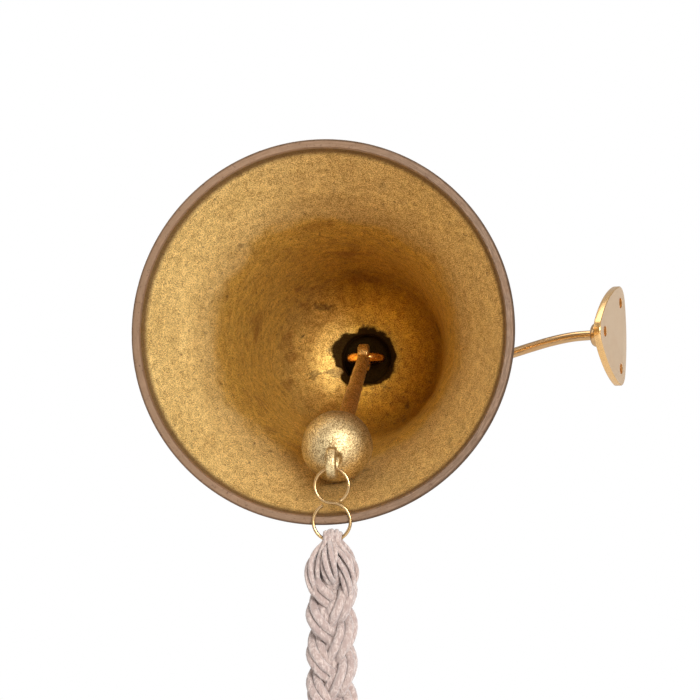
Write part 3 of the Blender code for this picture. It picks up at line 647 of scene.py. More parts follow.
def lip_finish(colours, sizes):
    """The turned lip: pinkish brown with painted shade towards its +X side, fine rings, darker nicks and a
    painted highlight along the inner corner.
    """
    material, s, shader = new_finish("bell_lip", 1.0)
    here = s.object_place(BELL)
    marks = s.use(turning_marks(), Vector=here, Length=0.006, Scale=2600.0)
    stain = s.patches(here, 90.0, 0.45, 0.70)
    pinholes = s.span(s.noise(here, 900.0, 3.0, 0.6), 0.60, 0.68)
    nick = s.patches(here, 420.0, 0.64, 0.70)
    base = tuple(colours.lip)
    # Painted shade: the lip darkens towards its +X side, as the light falls.
    dark = (base[0] * 0.42, base[1] * 0.44, base[2] * 0.48)
    tone = s.mix(s.span(marks["Cosine"], -0.8, 1.0), base, dark)
    tone = s.mix(s.times(stain, 0.4), tone, (base[0] * 0.56, base[1] * 0.50, base[2] * 0.44))
    tone = s.mix(s.times(s.span(marks["Rings"], 0.4, 0.7), 0.30), tone, (0.40, 0.27, 0.19))
    tone = s.mix(s.times(s.math("MAXIMUM", nick, s.times(pinholes, 0.6)), 0.75), tone,
                 (0.09, 0.045, 0.03))
    # Painted highlight: a lighter line along the lip's inner corner.
    corner = s.times(s.span(marks["Radius"], 0.0719, 0.0715), 0.35)
    tone = s.mix(corner, tone, (0.50, 0.36, 0.25))
    # A darker, rougher band along the outer rim.
    outer_rim_band = s.span(marks["Radius"], sizes.mouth_radius - 1.1 * MM, sizes.mouth_radius - 0.5 * MM)
    tone = s.mix(s.times(outer_rim_band, 0.45), tone, (0.06, 0.034, 0.020))
    s.feed(shader.inputs["Base Color"], tone)
    s.feed(shader.inputs["Roughness"], s.math("ADD", s.line(stain, 0.12, 0.46),
                                              s.times(outer_rim_band, 0.3)))
    s.feed(shader.inputs["Normal"], s.bump(marks["Rings"], 0.3, 0.00006))
    return material


def clapper_finish(sizes):
    """Satin cast brass with bright rubbed grains, duller and browner up the shank."""
    material, s, shader = new_finish("clapper_casting", 1.0)
    here = s.object_place(clapper_place(sizes))
    along = s.add("ShaderNodeSeparateXYZ", {"Vector": here}).outputs[2]
    grain = s.use(casting_grain(), Vector=here, Scale=1900.0)
    shank = s.span(along, -0.112, -0.098)
    brown = s.patches(here, 120.0, 0.46, 0.70)
    ball = (0.64, 0.495, 0.27)
    rod_tone = (0.96, 0.60, 0.20)
    tone = s.mix(s.times(shank, 0.8), ball, rod_tone)
    tone = s.mix(s.times(brown, 0.20), tone, (0.42, 0.25, 0.10))
    tone = s.mix(1.0, tone, s.mix(grain["Tone"], (0.34, 0.27, 0.19), (1.16, 1.16, 1.14)), "MULTIPLY")
    speck = s.span(s.noise(here, 1150.0, 2.0, 0.5), 0.63, 0.70)
    tone = s.mix(s.times(speck, 0.75), tone, (0.10, 0.06, 0.02))
    s.feed(shader.inputs["Base Color"], tone)
    s.feed(shader.inputs["Roughness"], s.line(grain["Tone"], -0.18, 0.50))
    s.feed(shader.inputs["Normal"], s.bump(grain["Height"], 1.0, 0.00022))
    return material


def plate_finish(colours):
    """Flat sanded brass with fine scratches and a slight bloom."""
    material, s, shader = new_finish("plate_sanded", 1.0)
    here = s.object_place()
    lines = s.use(hairlines(), Vector=here, Scale=1500.0)["Lines"]
    bloom = s.patches(here, 60.0, 0.4, 0.75)
    face = s.add("ShaderNodeNewGeometry").outputs["Normal"]
    flat = s.span(s.math("ABSOLUTE", s.add("ShaderNodeSeparateXYZ", {"Vector": face}).outputs[0]), 0.9, 0.99)
    base = tuple(colours.plate)
    edge = (0.72, 0.44, 0.18)
    tone = s.mix(flat, edge, base)
    tone = s.mix(s.times(bloom, 0.35), tone, (base[0] * 0.86, base[1] * 0.76, base[2] * 0.64))
    s.feed(shader.inputs["Base Color"], tone)
    s.feed(shader.inputs["Roughness"], s.math("ADD", s.line(flat, 0.28, 0.24),
                                              s.times(lines, 0.08)))
    s.feed(shader.inputs["Normal"], s.bump(lines, 0.25, 0.00006))
    return material


def cotton_finish(colours):
    """Undyed cotton yarn: twisted fibres, soft fuzz and a grey pink shade in the hollows."""
    material, s, shader = new_finish("cotton_yarn", 0.0, 0.92)
    here = s.object_place(LANYARD)
    fibres = s.noise(s.stretch(here, (1.0, 1.0, 0.22)), 1900.0, 3.0, 0.65, 0.4)
    twist = s.noise(s.stretch(here, (1.0, 1.0, 0.42)), 700.0, 2.0, 0.5, 0.8)
    soil = s.patches(here, 75.0, 0.42, 0.74)
    base = tuple(colours.cotton)
    shade = (base[0] * 0.60, base[1] * 0.54, base[2] * 0.54)
    tone = s.mix(s.times(s.span(twist, 0.58, 0.40), 0.8), base, shade)
    tone = s.mix(s.times(s.span(fibres, 0.56, 0.42), 0.8), tone, shade)
    tone = s.mix(s.times(soil, 0.22), tone, (base[0] * 0.84, base[1] * 0.72, base[2] * 0.62))
    s.feed(shader.inputs["Base Color"], tone)
    shader.inputs["Sheen Weight"].default_value = 0.35
    shader.inputs["Sheen Roughness"].default_value = 0.6
    shader.inputs["Specular IOR Level"].default_value = 0.15
    loft = s.bump(twist, 0.9, 0.0007)
    s.feed(shader.inputs["Normal"], s.bump(fibres, 0.8, 0.00025, loft))
    return material


def finish(name):
    """A finish by name, made the first time that it is asked for."""
    known = bpy.data.materials.get(name)
    if known:
        return known
    scene = bpy.context.scene
    colours, sizes = scene.shipbell_finish, scene.shipbell_bell
    makers = {
        "bell_outside": lambda: outside_finish(colours),
        "bell_inside": lambda: inside_finish(colours, sizes),
        "bell_lip": lambda: lip_finish(colours, sizes),
        "clapper_casting": lambda: clapper_finish(sizes),
        "plate_sanded": lambda: plate_finish(colours),
        "cotton_yarn": lambda: cotton_finish(colours),
        "fitting_brass": lambda: polished_finish("fitting_brass", colours.polished, 0.2),
        "arm_brass": lambda: polished_finish("arm_brass", (0.52, 0.32, 0.15), 0.12, 0.3),
        "eye_copper": lambda: polished_finish("eye_copper", colours.copper, 0.24, 0.4),
        "hook_wire": lambda: polished_finish("hook_wire", (0.46, 0.30, 0.14), 0.24, 0.4),
    }
    return makers[name]()


# ---------------------------------------------------------------- the bell

def shell_profile(sizes):
    """The whole wall as (radius, height), down the outside and up the inside."""
    hole = sizes.stud_radius + GAP
    outside = [(p.x * MM, p.y * MM) for p in smooth_line([(r, h) for r, h in reversed(OUTER_WALL)], 2.2)]
    inside = [(p.x * MM, p.y * MM) for p in smooth_line(INNER_WALL, 1.6)]
    top, boss = sizes.crown_top, 15.0 * MM
    mouth, inner = sizes.mouth_radius, sizes.mouth_radius - sizes.lip_width
    rim = arc((mouth - 0.7 * MM, 0.7 * MM), 0.7 * MM, 0.0, -90.0, 6)
    face = [(mouth - 0.7 * MM - (mouth - 0.7 * MM - inner - 0.3 * MM) * i / 4, 0.0) for i in range(1, 5)]
    crown = arc((boss - 1.0 * MM, top - 1.0 * MM), 1.0 * MM, 90.0, 0.0, 5)
    recess = top - sizes.crown_thickness
    return [(hole, top), *crown, (boss, 150.0 * MM), *outside, *rim, *face, *inside,
            (sizes.recess_radius + 0.5 * MM, 141.7 * MM), (sizes.recess_radius, 142.4 * MM),
            (sizes.recess_radius, recess - 1.0 * MM), (sizes.recess_radius - 1.0 * MM, recess),
            (hole, recess)]


NICKS = 26
NICK_REACH = 1.6 * MM
LIP, INSIDE, OUTSIDE = range(3)  # the shell's finishes


def make_shell(sizes):
    shape = spun(shell_profile(sizes), sizes.turns, closed=True)
    chance = random.Random(SEED)
    nicks = [(chance.uniform(0.0, math.tau), chance.choice((0.0, 1.0)), chance.uniform(0.08, 0.20))
             for _ in range(NICKS)]
    mouth, inner = sizes.mouth_radius, sizes.mouth_radius - sizes.lip_width
    for vert in shape.verts:
        x, y, h = vert.co
        r = math.hypot(x, y)
        out = Vector((x, y, 0.0)) / max(r, 1e-6)
        slope = (mouth - r) / sizes.lip_width
        if h < 3.0 * MM and r > inner - 1.0 * MM:
            turn = math.atan2(y, x) % math.tau
            for angle, side, size in nicks:
                near = abs((turn - angle + math.pi) % math.tau - math.pi) * r
                edge = inner if side < 0.5 else mouth
                reach = math.hypot(near, (r - edge) * 0.8, h)
                if reach < NICK_REACH:
                    depth = size * MM * (1.0 - reach / NICK_REACH) ** 2
                    vert.co.z += depth
                    vert.co -= out * depth * (0.4 if side > 0.5 else -0.4)
            if 0.0 <= slope <= 1.0 and h < 0.05 * MM:
                vert.co.z += 0.012 * MM * (1.0 + noise.noise(Vector((x, y, 0.0)) * 260.0))
        elif inner_side(r, h):
            rolling = noise.noise(vert.co * 55.0) * 0.30 + noise.noise(vert.co * 210.0) * 0.12
            lathe = 0.16 * math.exp(-((h - 45.0 * MM) / (1.1 * MM)) ** 2)
            vert.co += out * (rolling + lathe) * MM * min(1.0, (h - 3.0 * MM) / (8.0 * MM))
    shape.faces.ensure_lookup_table()
    for face in shape.faces:
        middle = face.calc_center_median()
        r, h = math.hypot(middle.x, middle.y), middle.z
        if h < 0.75 * MM and r > inner - 0.5 * MM:
            face.material_index = LIP
        elif h < 3.6 * MM and r > mouth - 1.2 * MM:
            face.material_index = LIP
        else:
            face.material_index = INSIDE if inner_side(r, h) else OUTSIDE
    return shape


def inner_side(r, h):
    """Whether a point of the wall belongs to its inside."""
    r, h = r / MM, h / MM
    if h >= INNER_WALL[-1][1]:
        return r < RECESS_LIMIT[0] and h < RECESS_LIMIT[1]
    for (r0, h0), (r1, h1) in zip(INNER_WALL, INNER_WALL[1:]):
        if h <= h1:
            t = (h - h0) / (h1 - h0)
            return r < r0 + (r1 - r0) * t + HALF_WALL
    return False


class SHIPBELL_OT_shell(bpy.types.Operator):
    """Turns the bell: its lip, cast inside and polished outside"""

    bl_idname = "shipbell.shell"
    bl_label = "Bell"

    def execute(self, context):
        sizes = context.scene.shipbell_bell
        shape = make_shell(sizes)
        put(shape, "bell_body", BELL @ Matrix.Translation((0.0, 0.0, -sizes.pivot_height)), "bell",
            "bell_shell", [finish("bell_lip"), finish("bell_inside"), finish("bell_outside")], 40.0)
        return {"FINISHED"}


class SHIPBELL_OT_crown(bpy.types.Operator):
    """Makes the crown washer, the hanger lug and the crown eye"""

    bl_idname = "shipbell.crown"
    bl_label = "Crown fittings"

    def execute(self, context):
        sizes = context.scene.shipbell_bell
        bracket = context.scene.shipbell_bracket
        low = sizes.crown_top + GAP - sizes.pivot_height
        brass = finish("fitting_brass")
        washer = spun([(sizes.stud_radius + GAP, low), (sizes.stud_radius + GAP, low + 1.0 * MM),
                       *arc((10.2 * MM, low + 0.7 * MM), 0.3 * MM, 90.0, 0.0, 4),
                       *arc((10.2 * MM, low + 0.3 * MM), 0.3 * MM, 0.0, -90.0, 4)], 96, closed=True)
        put(washer, "crown_washer_ring", BELL, "bell", "crown_washer", [brass])
        foot = low + 1.3 * MM
        flange = spun([(0.0, foot), *arc((8.1 * MM, foot + 0.5 * MM), 0.5 * MM, -90.0, 0.0, 4),
                       *arc((8.1 * MM, foot + 1.1 * MM), 0.5 * MM, 0.0, 90.0, 4), (0.0, foot + 1.6 * MM)], 96)
        tab = block((8.4 * MM, 12.4 * MM, -foot), (0.0, 0.0, foot / 2 + 0.3 * MM))
        eye = along_x(cylinder(6.2 * MM, -4.2 * MM, 4.2 * MM, 64))
        soften(eye, 0.5 * MM)
        cutters = [along_x(cylinder(bracket.bolt + 0.4 * MM, -9.0 * MM, 9.0 * MM)),
                   cylinder(sizes.stud_radius + GAP, foot - 5.0 * MM, -3.8 * MM)]
        lug = cast_together([flange, tab, eye], 0.32 * MM, 2)
        put(carved(lug, cutters), "hanger_eye", BELL, "bell", "hanger_lug", [brass])
        centre = CLAPPER_HEIGHT - sizes.pivot_height + sizes.eye_radius
        ring = rod([(x, 0.0, z) for x, z in arc((0.0, centre), sizes.eye_radius, 0.0, 354.375, 64)],
                   sizes.eye_rod, 8, cyclic=True)
        stud = cylinder(sizes.stud_radius, centre + sizes.eye_radius - 0.4 * MM, -4.1 * MM)
        put(cast_together([ring, stud], 0.22 * MM, 3), "crown_eye_bolt", BELL, "bell", "crown_eye",
            [finish("eye_copper")])
        return {"FINISHED"}


def clapper_place(sizes):
    lean = Matrix.Rotation(sizes.clapper_lean, 4, "X") @ Matrix.Rotation(-sizes.clapper_rock, 4, "Y")
    return BELL @ Matrix.Translation((0.0, 0.0, CLAPPER_HEIGHT - sizes.pivot_height)) @ lean


class SHIPBELL_OT_clapper(bpy.types.Operator):
    """Casts the clapper: an eye, a shank, a ball and a tail eye in one piece"""

    bl_idname = "shipbell.clapper"
    bl_label = "Clapper"

    def execute(self, context):
        sizes = context.scene.shipbell_bell
        ball = bmesh.new()
        bmesh.ops.create_icosphere(ball, subdivisions=5, radius=sizes.ball_radius)
        bmesh.ops.translate(ball, verts=ball.verts, vec=(0.0, 0.0, -sizes.clapper_length))
        shank = cylinder(3.7 * MM, 4.0 * MM - sizes.clapper_length, -3.4 * MM, 40, 2.8 * MM)
        eyes, cutters = [], []
        tail = -sizes.clapper_length - 20.0 * MM
        for height, outer, inner, thick in ((-0.5 * MM, 6.0 * MM, 3.4 * MM, 5.0 * MM),
                                            (tail, 6.3 * MM, 3.4 * MM, 4.0 * MM)):
            disc = along_x(cylinder(outer, -thick / 2, thick / 2, 56), (0.0, 0.0, height))
            soften(disc, 0.9 * MM)
            eyes.append(disc)
            cutters.append(along_x(cylinder(inner, -thick, thick, 40), (0.0, 0.0, height)))
        neck = cylinder(2.9 * MM, tail + 3.6 * MM, 6.0 * MM - sizes.clapper_length, 32, 4.6 * MM)
        casting = carved(cast_together([ball, shank, neck, *eyes], 0.42 * MM, 3), cutters)
        roughened(casting, 0.16 * MM, 160.0)
        roughened(casting, 0.07 * MM, 700.0)
        put(casting, "clapper_casting", clapper_place(sizes), "clapper", "clapper",
            [finish("clapper_casting")], 60.0)
        return {"FINISHED"}


# ---------------------------------------------------------------- the bracket

def plate_shape(sizes):
    """The triangular plate from -X to its back at X = 0, made along Z."""
    reach = sizes.side - sizes.corner
    half = sizes.hole_ring * math.sin(math.radians(60.0))
    offset = sizes.hole_ring * 0.5 - math.sqrt(reach ** 2 - half ** 2)
    swing = math.degrees(math.asin(half / reach))
    rim = []
    for corner in range(3):
        facing = 180.0 + 120.0 * corner
        middle = Vector((math.cos(math.radians(facing)), math.sin(math.radians(facing)))) * sizes.hole_ring
        rim += arc(middle, sizes.corner, facing - 60.0 + swing, facing + 60.0 - swing, 25)
        side = facing + 60.0
        centre = Vector((math.cos(math.radians(side)), math.sin(math.radians(side)))) * offset
        rim += arc(centre, sizes.side, side - swing, side + swing, 25)[1:-1]
    shape = extruded(rim, 0.0, -sizes.thickness)
    soften(shape, 0.45 * MM)
    return shape


class SHIPBELL_OT_plate(bpy.types.Operator):
    """Cuts the wall plate with its three countersunk screw holes"""

    bl_idname = "shipbell.plate"
    bl_label = "Wall plate"

    def execute(self, context):
        sizes = context.scene.shipbell_bracket
        drills = []
        for corner in range(3):
            facing = math.radians(180.0 + 120.0 * corner)
            place = (0.0, sizes.hole_ring * math.cos(facing), sizes.hole_ring * math.sin(facing))
            front = -sizes.thickness - 0.3 * MM
            drills.append(along_x(spun([(0.0, 3.0 * MM), (sizes.hole + 0.4 * MM, 3.0 * MM),
                                        (sizes.hole + 0.4 * MM, 0.3 * MM), (sizes.hole, -0.15 * MM),
                                        (sizes.hole, -sizes.thickness / 2), (sizes.hole + 1.6 * MM, front),
                                        (0.0, front)], 48), place))
        put(carved(plate_shape(sizes), drills), "mounting_plate", HERE, "bracket", "wall_plate",
            [finish("plate_sanded")], 30.0)
        return {"FINISHED"}


class SHIPBELL_OT_arm(bpy.types.Operator):
    """Turns the boss and its collar and bends the swan neck arm"""

    bl_idname = "shipbell.arm"
    bl_label = "Arm and boss"

    def execute(self, context):
        sizes = context.scene.shipbell_bracket
        brass = finish("arm_brass")
        bore = sizes.arm + 0.15 * MM
        high = -sizes.thickness - GAP
        boss = [(bore, high), *arc((7.0 * MM, high - 0.4 * MM), 0.4 * MM, 90.0, 0.0, 5),
                *arc((6.9 * MM, high - 1.1 * MM), 0.5 * MM, 0.0, -90.0, 5), (6.0 * MM, high - 1.8 * MM),
                *arc((5.3 * MM, high - 2.6 * MM), 0.8 * MM, 70.0, -90.0, 9), (bore, high - 3.4 * MM)]
        put(along_x(spun(boss, 128, closed=True)), "turned_boss", HERE, "bracket", "arm_boss", [brass])
        top = high - 3.7 * MM
        collar = [(bore, top), (4.9 * MM, top), *arc((4.9 * MM, top - 0.5 * MM), 0.5 * MM, 90.0, 0.0, 5),
                  *arc((3.2 * MM, top - 1.6 * MM), 2.1 * MM, 0.0, -70.0, 12),
                  (bore + 0.5 * MM, top - 3.6 * MM), (bore, top - 3.6 * MM)]
        put(along_x(spun(collar, 128, closed=True)), "turned_collar", HERE, "bracket",
            "arm_collar", [brass])
        route = smooth_line([(x * MM, 0.0, z * MM) for x, z in ARM_ROUTE], 1.1 * MM)
        route.append(Vector((-116.0 * MM, 0.0, -1.6 * MM)))
        put(rod(route, sizes.arm, 10), "swan_neck_arm", HERE, "bracket", "bracket_arm", [brass], 50.0)
        return {"FINISHED"}


def hexagon(radius, low, high, chamfer):
    """A hexagon along Z with turned corners at its low end."""
    shape = cylinder(radius, low, high, 6)
    cone = spun([(0.0, high + 1.0 * MM), (radius * 1.2, high + 1.0 * MM), (radius * 1.2, low + 1.2 * chamfer),
                 (radius - chamfer, low), (0.0, low)], 64)
    return carved(shape, [cone], "INTERSECT")


class SHIPBELL_OT_pivot(bpy.types.Operator):
    """Makes the swivel yoke, its collar and nut, and the pivot bolt with its washers and dome nut"""

    bl_idname = "shipbell.pivot"
    bl_label = "Yoke and pivot"

    def execute(self, context):
        sizes = context.scene.shipbell_bracket
        brass = finish("fitting_brass")
        tip = Matrix.Translation((BOLT.translation.x, 0.0, 0.0))
        top, under = 5.7 * MM, 1.7 * MM
        bore = sizes.arm + GAP
        collar = spun([(bore, top + GAP), *arc((3.6 * MM, top + 0.9 * MM), 0.6 * MM, -90.0, 0.0, 5),
                       *arc((3.4 * MM, top + 2.1 * MM), 0.8 * MM, 0.0, 90.0, 6), (bore, top + 2.9 * MM)], 96,
                      closed=True)
        put(collar, "tip_collar_ring", tip, "bracket", "tip_collar", [brass])
        nut = carved(hexagon(4.3 * MM, under - 3.3 * MM, under - GAP, 0.5 * MM),
                     [cylinder(bore, under - 6.0 * MM, under + 3.0 * MM)])
        put(nut, "tip_hex_nut", tip, "bracket", "tip_nut", [brass], 20.0)

        cheek_in, cheek_out = 4.8 * MM, 7.4 * MM
        rise = top - BOLT.translation.z
        outline = arc((0.0, 0.0), sizes.cheek, -180.0, 0.0, 49)
        outline += arc((sizes.cheek - 1.4 * MM, rise - 1.4 * MM), 1.4 * MM, 0.0, 90.0, 7)
        outline += arc((1.4 * MM - sizes.cheek, rise - 1.4 * MM), 1.4 * MM, 90.0, 180.0, 7)
        yoke = extruded(outline, -cheek_out, 2 * cheek_out)
        soften(yoke, 0.5 * MM)
        slot = block((2 * cheek_in, 30.0 * MM, 30.0 * MM), (0.0, 0.0, under - BOLT.translation.z - 15.0 * MM))
        cutters = [slot, along_x(cylinder(sizes.bolt + 0.4 * MM, -20.0 * MM, 20.0 * MM)),
                   cylinder(sizes.arm + 0.4 * MM, 0.0, 30.0 * MM)]
        put(carved(yoke, cutters), "yoke_block", BOLT, "yoke", "swivel_yoke", [brass], 30.0)

        for side, node in ((-1.0, "head_washer"), (1.0, "nut_washer")):
            near, far = cheek_out + GAP, cheek_out + 1.2 * MM
            washer = spun([(sizes.bolt + GAP, near), (5.4 * MM, near),
                           *arc((5.4 * MM, near + 0.2 * MM), 0.2 * MM, -90.0, 0.0, 3),
                           *arc((5.4 * MM, far - 0.2 * MM), 0.2 * MM, 0.0, 90.0, 3), (sizes.bolt + GAP, far)],
                          96, closed=True)
            turned = moved(washer, Matrix.Rotation(math.radians(90.0 * side), 4, "Y"))
            put(turned, node + "_disc", BOLT, "yoke", node, [brass])
        seat = cheek_out + 1.5 * MM
        head = hexagon(4.5 * MM, -seat - 3.2 * MM, -seat, 0.6 * MM)
        shank = cylinder(sizes.bolt, -seat - 1.0 * MM, seat + 4.6 * MM)
        put(along_x(joined([head, shank])), "pivot_hex_bolt", BOLT, "yoke", "pivot_bolt", [brass],
            20.0)
        end = seat + 7.4 * MM
        nut = hexagon(4.6 * MM, seat, seat + 4.2 * MM, 0.4 * MM)
        dome = spun([(0.0, end), *arc((0.0, end - 3.2 * MM), 3.2 * MM, 86.0, 0.0, 18),
                     (3.6 * MM, seat + 3.9 * MM), (0.0, seat + 3.9 * MM)], 64)
        bored = carved(nut, [cylinder(sizes.bolt + GAP, seat - 2.0 * MM, seat + 3.6 * MM)])
        put(along_x(joined([bored, dome])), "pivot_dome_nut", BOLT, "yoke", "pivot_nut", [brass],
            25.0)
        return {"FINISHED"}


# ---------------------------------------------------------------- hook and lanyard

class SHIPBELL_OT_hook(bpy.types.Operator):
    """Bends the wire S hook"""

    bl_idname = "shipbell.hook"
    bl_label = "S hook"

    def execute(self, context):
        sizes = context.scene.shipbell_lanyard
        upper, lower = sizes.upper_loop, sizes.lower_loop
        points = arc((0.0, -upper), upper, -60.0, 270.0, 90)
        points += arc((0.0, -2 * upper - lower), lower, 90.0, -240.0, 96)[1:]
        places = [Vector((x, 0.0, z)) for x, z in points]
        radii = [1.0] * len(places)
        for i, grow in enumerate((1.30, 1.22, 1.08)):
            radii[i] = radii[-1 - i] = grow
        put(rod(places, sizes.wire, 8, radii=radii), "hook_wire_loops", HOOK, "hook", "s_hook",
            [finish("hook_wire")], 50.0)
        return {"FINISHED"}


def yarn_bundle(line, count, spread, twist, radius, swell=None):
    """Yarns laid round a line, turning about it as they go."""
    yarns = []
    up = Vector((0.31, 0.95, 0.05))
    frames = []
    for i, point in enumerate(line):
        ahead = line[min(i + 1, len(line) - 1)] - line[max(i - 1, 0)]
        ahead.normalize()
        side = ahead.cross(up).normalized()
        up = side.cross(ahead).normalized()
        frames.append((point, side, up.copy()))
    for k in range(count):
        points = []
        for i, (point, side, over) in enumerate(frames):
            turn = math.tau * k / count + twist * i / len(frames)
            reach = spread * (swell(i / (len(frames) - 1)) if swell else 1.0)
            points.append(point + (side * math.cos(turn) + over * math.sin(turn)) * reach)
        yarns.append(rod(points, radius, 2))
    if count > 3:
        yarns.append(rod([f[0] for f in frames], radius, 2))
    return yarns


def plait_line(strand, top, low, wide, deep, pitch):
    """One strand's centre line in a three strand plait hanging down."""
    phase = math.tau * strand / 3
    points = []
    count = max(8, round((top - low) / (1.6 * MM)))
    for i in range(count + 1):
        z = top + (low - top) * i / count
        gather = min(1.0, 0.55 + 0.45 * (top - z) / (9.0 * MM))
        gather *= 1.0 - 0.45 * max(0.0, 1.0 - (z - low) / (7.0 * MM)) ** 2
        turn = math.tau * (top - z) / pitch + phase
        points.append(Vector((wide * math.sin(turn) * gather, deep * math.sin(2 * turn) * gather, z)))
    return points


def bight_swell(part):
    """How far the bight's yarns spread, a part of the way along: most in the two lobes."""
    return 1.0 + 0.95 * math.sin(math.tau * part) ** 2


def bight_lines(wire_gap):
    """The cords that pass over the hook's wire: a front one that tucks in, and a fat lobe each side."""
    lines = []
    for offset, reach, drop, front in ((0.6, 0.2, 12.5, 8.6), (-1.3, -6.2, 17.0, 5.8), (1.9, 6.6, 18.0, 5.8)):
        x0, x1, f = offset * MM, reach * MM, front * MM
        bend, low = wire_gap, -drop * MM
        lines.append(smooth_line([
            (x1 * 0.8, -1.0 * MM, low - 3.0 * MM), (x1, -f * 0.62, low - 1.6 * MM),
            (x1 * 1.05, -f, low * 0.74),
            (x0 + (x1 - x0) * 0.72, -f * 0.98, low * 0.42), (x0, -bend * 1.25, -1.2 * MM),
            (x0, -bend * 0.70, bend * 0.72), (x0, 0.0, bend * 0.98), (x0, bend * 0.70, bend * 0.72),
            (x0, bend * 1.25, -1.2 * MM), (x0 + (x1 - x0) * 0.72, 5.4 * MM, low * 0.42),
            (x1 * 1.05, 5.6 * MM, low * 0.74), (x1 * 0.8, 2.4 * MM, low - 1.6 * MM)], 1.3 * MM))
    return lines


KNOT_STEPS = 300  # along one lay of the end knot


class SHIPBELL_OT_lanyard(bpy.types.Operator):
    """Plaits the rope through the hook, ties its end knot and frays its tail"""

    bl_idname = "shipbell.lanyard"
    bl_label = "Rope lanyard"

    def execute(self, context):
        sizes = context.scene.shipbell_lanyard
        cotton = [finish("cotton_yarn")]
        yarn = sizes.yarn
        wire_gap = sizes.wire + 0.2 * MM + 1.5 * MM
        top, low = -9.0 * MM, -8.3 * MM - sizes.rope_length
        shapes = []
        for line in bight_lines(wire_gap):
            shapes += yarn_bundle(line, 5, 1.25 * MM, 7.0, 1.0 * MM, bight_swell)
        for strand in range(3):
            line = plait_line(strand, top, low, 5.6 * MM, 3.0 * MM, 42.0 * MM)
            shapes += yarn_bundle(line, 5, 2.75 * MM, 14.0, yarn)
        core = cylinder(3.4 * MM, low + 2.0 * MM, top - 3.0 * MM, 16)
        rope = put(joined([*shapes, core]), "plaited_rope", LANYARD, "lanyard",
                   "lanyard_rope", cotton, 60.0, also=["lanyard_bight"])

        middle = low - GAP - sizes.knot_height / 2
        knot_yarns = []
        for lay in (-1.0, 0.0, 1.0):
            points = []
            for i in range(KNOT_STEPS):
                turn = math.tau * 3 * i / KNOT_STEPS
                wave = 4.0 * turn / 3.0
                reach = 10.2 * MM + 1.5 * MM * math.cos(2 * wave + 0.9)
                pinch = 1.0 - 0.16 * math.cos(wave) ** 2
                points.append(Vector((reach * pinch * math.cos(turn), reach * pinch * math.sin(turn),
                                      middle + 7.0 * MM * math.cos(wave) + lay * 2.7 * MM)))
            knot_yarns.append(rod(points, 1.75 * MM, 3, cyclic=True))
        heart = bmesh.new()
        bmesh.ops.create_icosphere(heart, subdivisions=4, radius=1.0)
        bmesh.ops.scale(heart, verts=heart.verts, vec=(9.6 * MM, 9.6 * MM, 11.4 * MM))
        bmesh.ops.translate(heart, verts=heart.verts, vec=(0.0, 0.0, middle))
        knot = put(joined([*knot_yarns, heart]), "end_knot", LANYARD, "lanyard", "lanyard_knot",
                   cotton, 60.0)

        chance = random.Random(SEED)
        tail_top = low - sizes.knot_height + 1.0 * MM
        tails = []
        for ring_radius, count in ((0.4, 1), (2.2, 6), (4.3, 12), (6.2, 18)):
            for k in range(count):
                turn = math.tau * k / count + chance.uniform(-0.1, 0.1)
                out = Vector((math.cos(turn), math.sin(turn), 0.0))
                end = sizes.tail_length + 0.6 * MM - chance.uniform(0.0, 3.0) * MM
                sway = chance.uniform(-0.7, 0.7) * MM
                bends = ((0.55, 0.0, 0.0, 0.0), (0.95, sway, -sway, end * 0.4),
                         (1.05, -sway, sway, end * 0.75), (1.12, sway, sway, end))
                line = smooth_line([out * ring_radius * MM * spread + Vector((x, y, tail_top - drop))
                                    for spread, x, y, drop in bends], 2.0 * MM)
                tails.append(rod(line, 1.05 * MM, 2))
        tail = put(joined(tails), "frayed_tail", LANYARD, "lanyard", "lanyard_tail", cotton, 60.0)

        return {"FINISHED"}


# ---------------------------------------------------------------- stage

CAMERA_PLACE = Vector((0.2532, -0.9125, -0.0834))
CAMERA_LOOK = Vector((-0.3837, 0.9200, 0.0811))
CAMERA_LENS = 109.7
LIT_POINT = (-0.07, -0.12, -0.01)
LIGHTS = (  # name, place, size and power in watts
    ("key", (0.85, -1.15, 0.30), (0.6, 0.6), 30.0),
    ("window", (-0.9, -0.75, 0.35), (0.7, 1.1), 3.0),
    ("top", (-0.1, -0.2, 1.2), (1.0, 1.0), 8.0),
)


def aim(thing, place, target):
    thing.location = place
    thing.rotation_euler = (Vector(target) - Vector(place)).to_track_quat("-Z", "Y").to_euler()


def soft_light(name, place, size, power):
    lamp = bpy.data.lights.new(name, "AREA")
    lamp.shape = "RECTANGLE"
    lamp.size, lamp.size_y = size
    lamp.energy = power
    thing = bpy.data.objects.new(name, lamp)
    bpy.context.scene.collection.objects.link(thing)
    aim(thing, place, LIT_POINT)


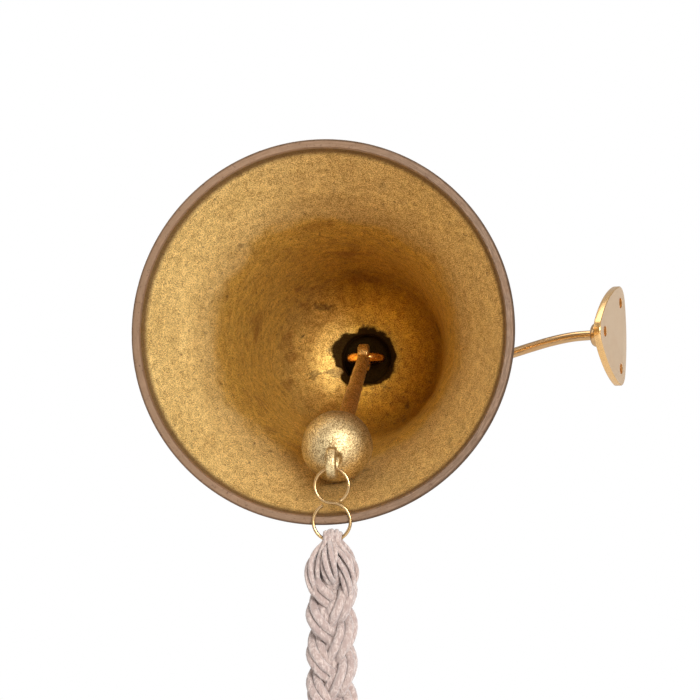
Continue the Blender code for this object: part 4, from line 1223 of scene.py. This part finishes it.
class SHIPBELL_OT_stage(bpy.types.Operator):
    """Sets the floor, the studio lights and the camera"""

    bl_idname = "shipbell.stage"
    bl_label = "Stage"

    def execute(self, context):
        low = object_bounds()[0][2]
        shape = bmesh.new()
        bmesh.ops.create_circle(shape, cap_ends=True, segments=96, radius=0.85)
        bmesh.ops.translate(shape, verts=shape.verts, vec=(-0.07, -0.08, low - 0.02))
        mesh = bpy.data.meshes.new("floor")
        shape.to_mesh(mesh)
        shape.free()
        floor = bpy.data.objects.new("floor", mesh)
        context.scene.collection.objects.link(floor)
        pale, _, shader = new_finish("pale_floor", 0.0, 0.8)
        shader.inputs["Base Color"].default_value = (0.86, 0.86, 0.86, 1.0)
        mesh.materials.append(pale)
        floor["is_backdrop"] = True

        context.scene.view_settings.view_transform = "Standard"
        world = bpy.data.worlds.new("studio")
        context.scene.world = world
        world.use_nodes = True
        s = Shading(world.node_tree)
        back = world.node_tree.nodes["Background"]
        out = world.node_tree.nodes["World Output"]
        facing = s.add("ShaderNodeTexCoord").outputs["Generated"]
        around = s.add("ShaderNodeSeparateXYZ", {"Vector": facing}).outputs
        behind = s.span(around[1], 0.2, -0.9)  # the room behind the camera is darker
        sky = s.mix(behind, (0.80, 0.80, 0.80), (0.62, 0.61, 0.60))
        s.feed(back.inputs["Color"], sky)
        back.inputs["Strength"].default_value = 0.75
        white = s.add("ShaderNodeBackground", {"Color": (1.0, 1.0, 1.0, 1.0), "Strength": 1.0})
        seen = s.add("ShaderNodeLightPath").outputs["Is Camera Ray"]
        blend = s.add("ShaderNodeMixShader", {0: seen, 1: back.outputs[0], 2: white.outputs[0]})
        s.feed(out.inputs["Surface"], blend.outputs[0])

        for light in LIGHTS:
            soft_light(*light)

        lens = bpy.data.cameras.new("camera")
        lens.sensor_width = 36.0
        lens.lens = CAMERA_LENS
        lens.clip_start = 0.01
        camera = bpy.data.objects.new("camera", lens)
        context.scene.collection.objects.link(camera)
        aim(camera, CAMERA_PLACE, CAMERA_PLACE + CAMERA_LOOK)
        context.scene.camera = camera
        return {"FINISHED"}


# ---------------------------------------------------------------- panel and registration

class SHIPBELL_PT_parts(bpy.types.Panel):
    """Lists the bell's pieces with their sizes and colours"""

    bl_idname = "SHIPBELL_PT_parts"
    bl_label = "Ship Bell"
    bl_space_type = "VIEW_3D"
    bl_region_type = "UI"
    bl_category = "Ship Bell"

    def draw(self, context):
        layout = self.layout
        for holder in ("shipbell_bell", "shipbell_bracket", "shipbell_lanyard", "shipbell_finish"):
            group_of = getattr(context.scene, holder)
            box = layout.box()
            for key in group_of.__annotations__:
                box.prop(group_of, key)
        for operator in OPERATORS:
            layout.operator(operator.bl_idname)


OPERATORS = (SHIPBELL_OT_shell, SHIPBELL_OT_crown, SHIPBELL_OT_clapper, SHIPBELL_OT_plate, SHIPBELL_OT_arm,
             SHIPBELL_OT_pivot, SHIPBELL_OT_hook, SHIPBELL_OT_lanyard, SHIPBELL_OT_stage)
GROUPS = {"shipbell_bell": SHIPBELL_PG_bell, "shipbell_bracket": SHIPBELL_PG_bracket,
          "shipbell_lanyard": SHIPBELL_PG_lanyard, "shipbell_finish": SHIPBELL_PG_finish}


def register():
    for item in (*GROUPS.values(), *OPERATORS, SHIPBELL_PT_parts):
        bpy.utils.register_class(item)
    for key, item in GROUPS.items():
        setattr(bpy.types.Scene, key, PointerProperty(type=item))


def unregister():
    for key in GROUPS:
        delattr(bpy.types.Scene, key)
    for item in (SHIPBELL_PT_parts, *reversed(OPERATORS), *GROUPS.values()):
        bpy.utils.unregister_class(item)


def main():
    register()
    for operator in OPERATORS:
        space, name = operator.bl_idname.split(".")
        getattr(getattr(bpy.ops, space), name)()


if __name__ == "__main__":
    main()
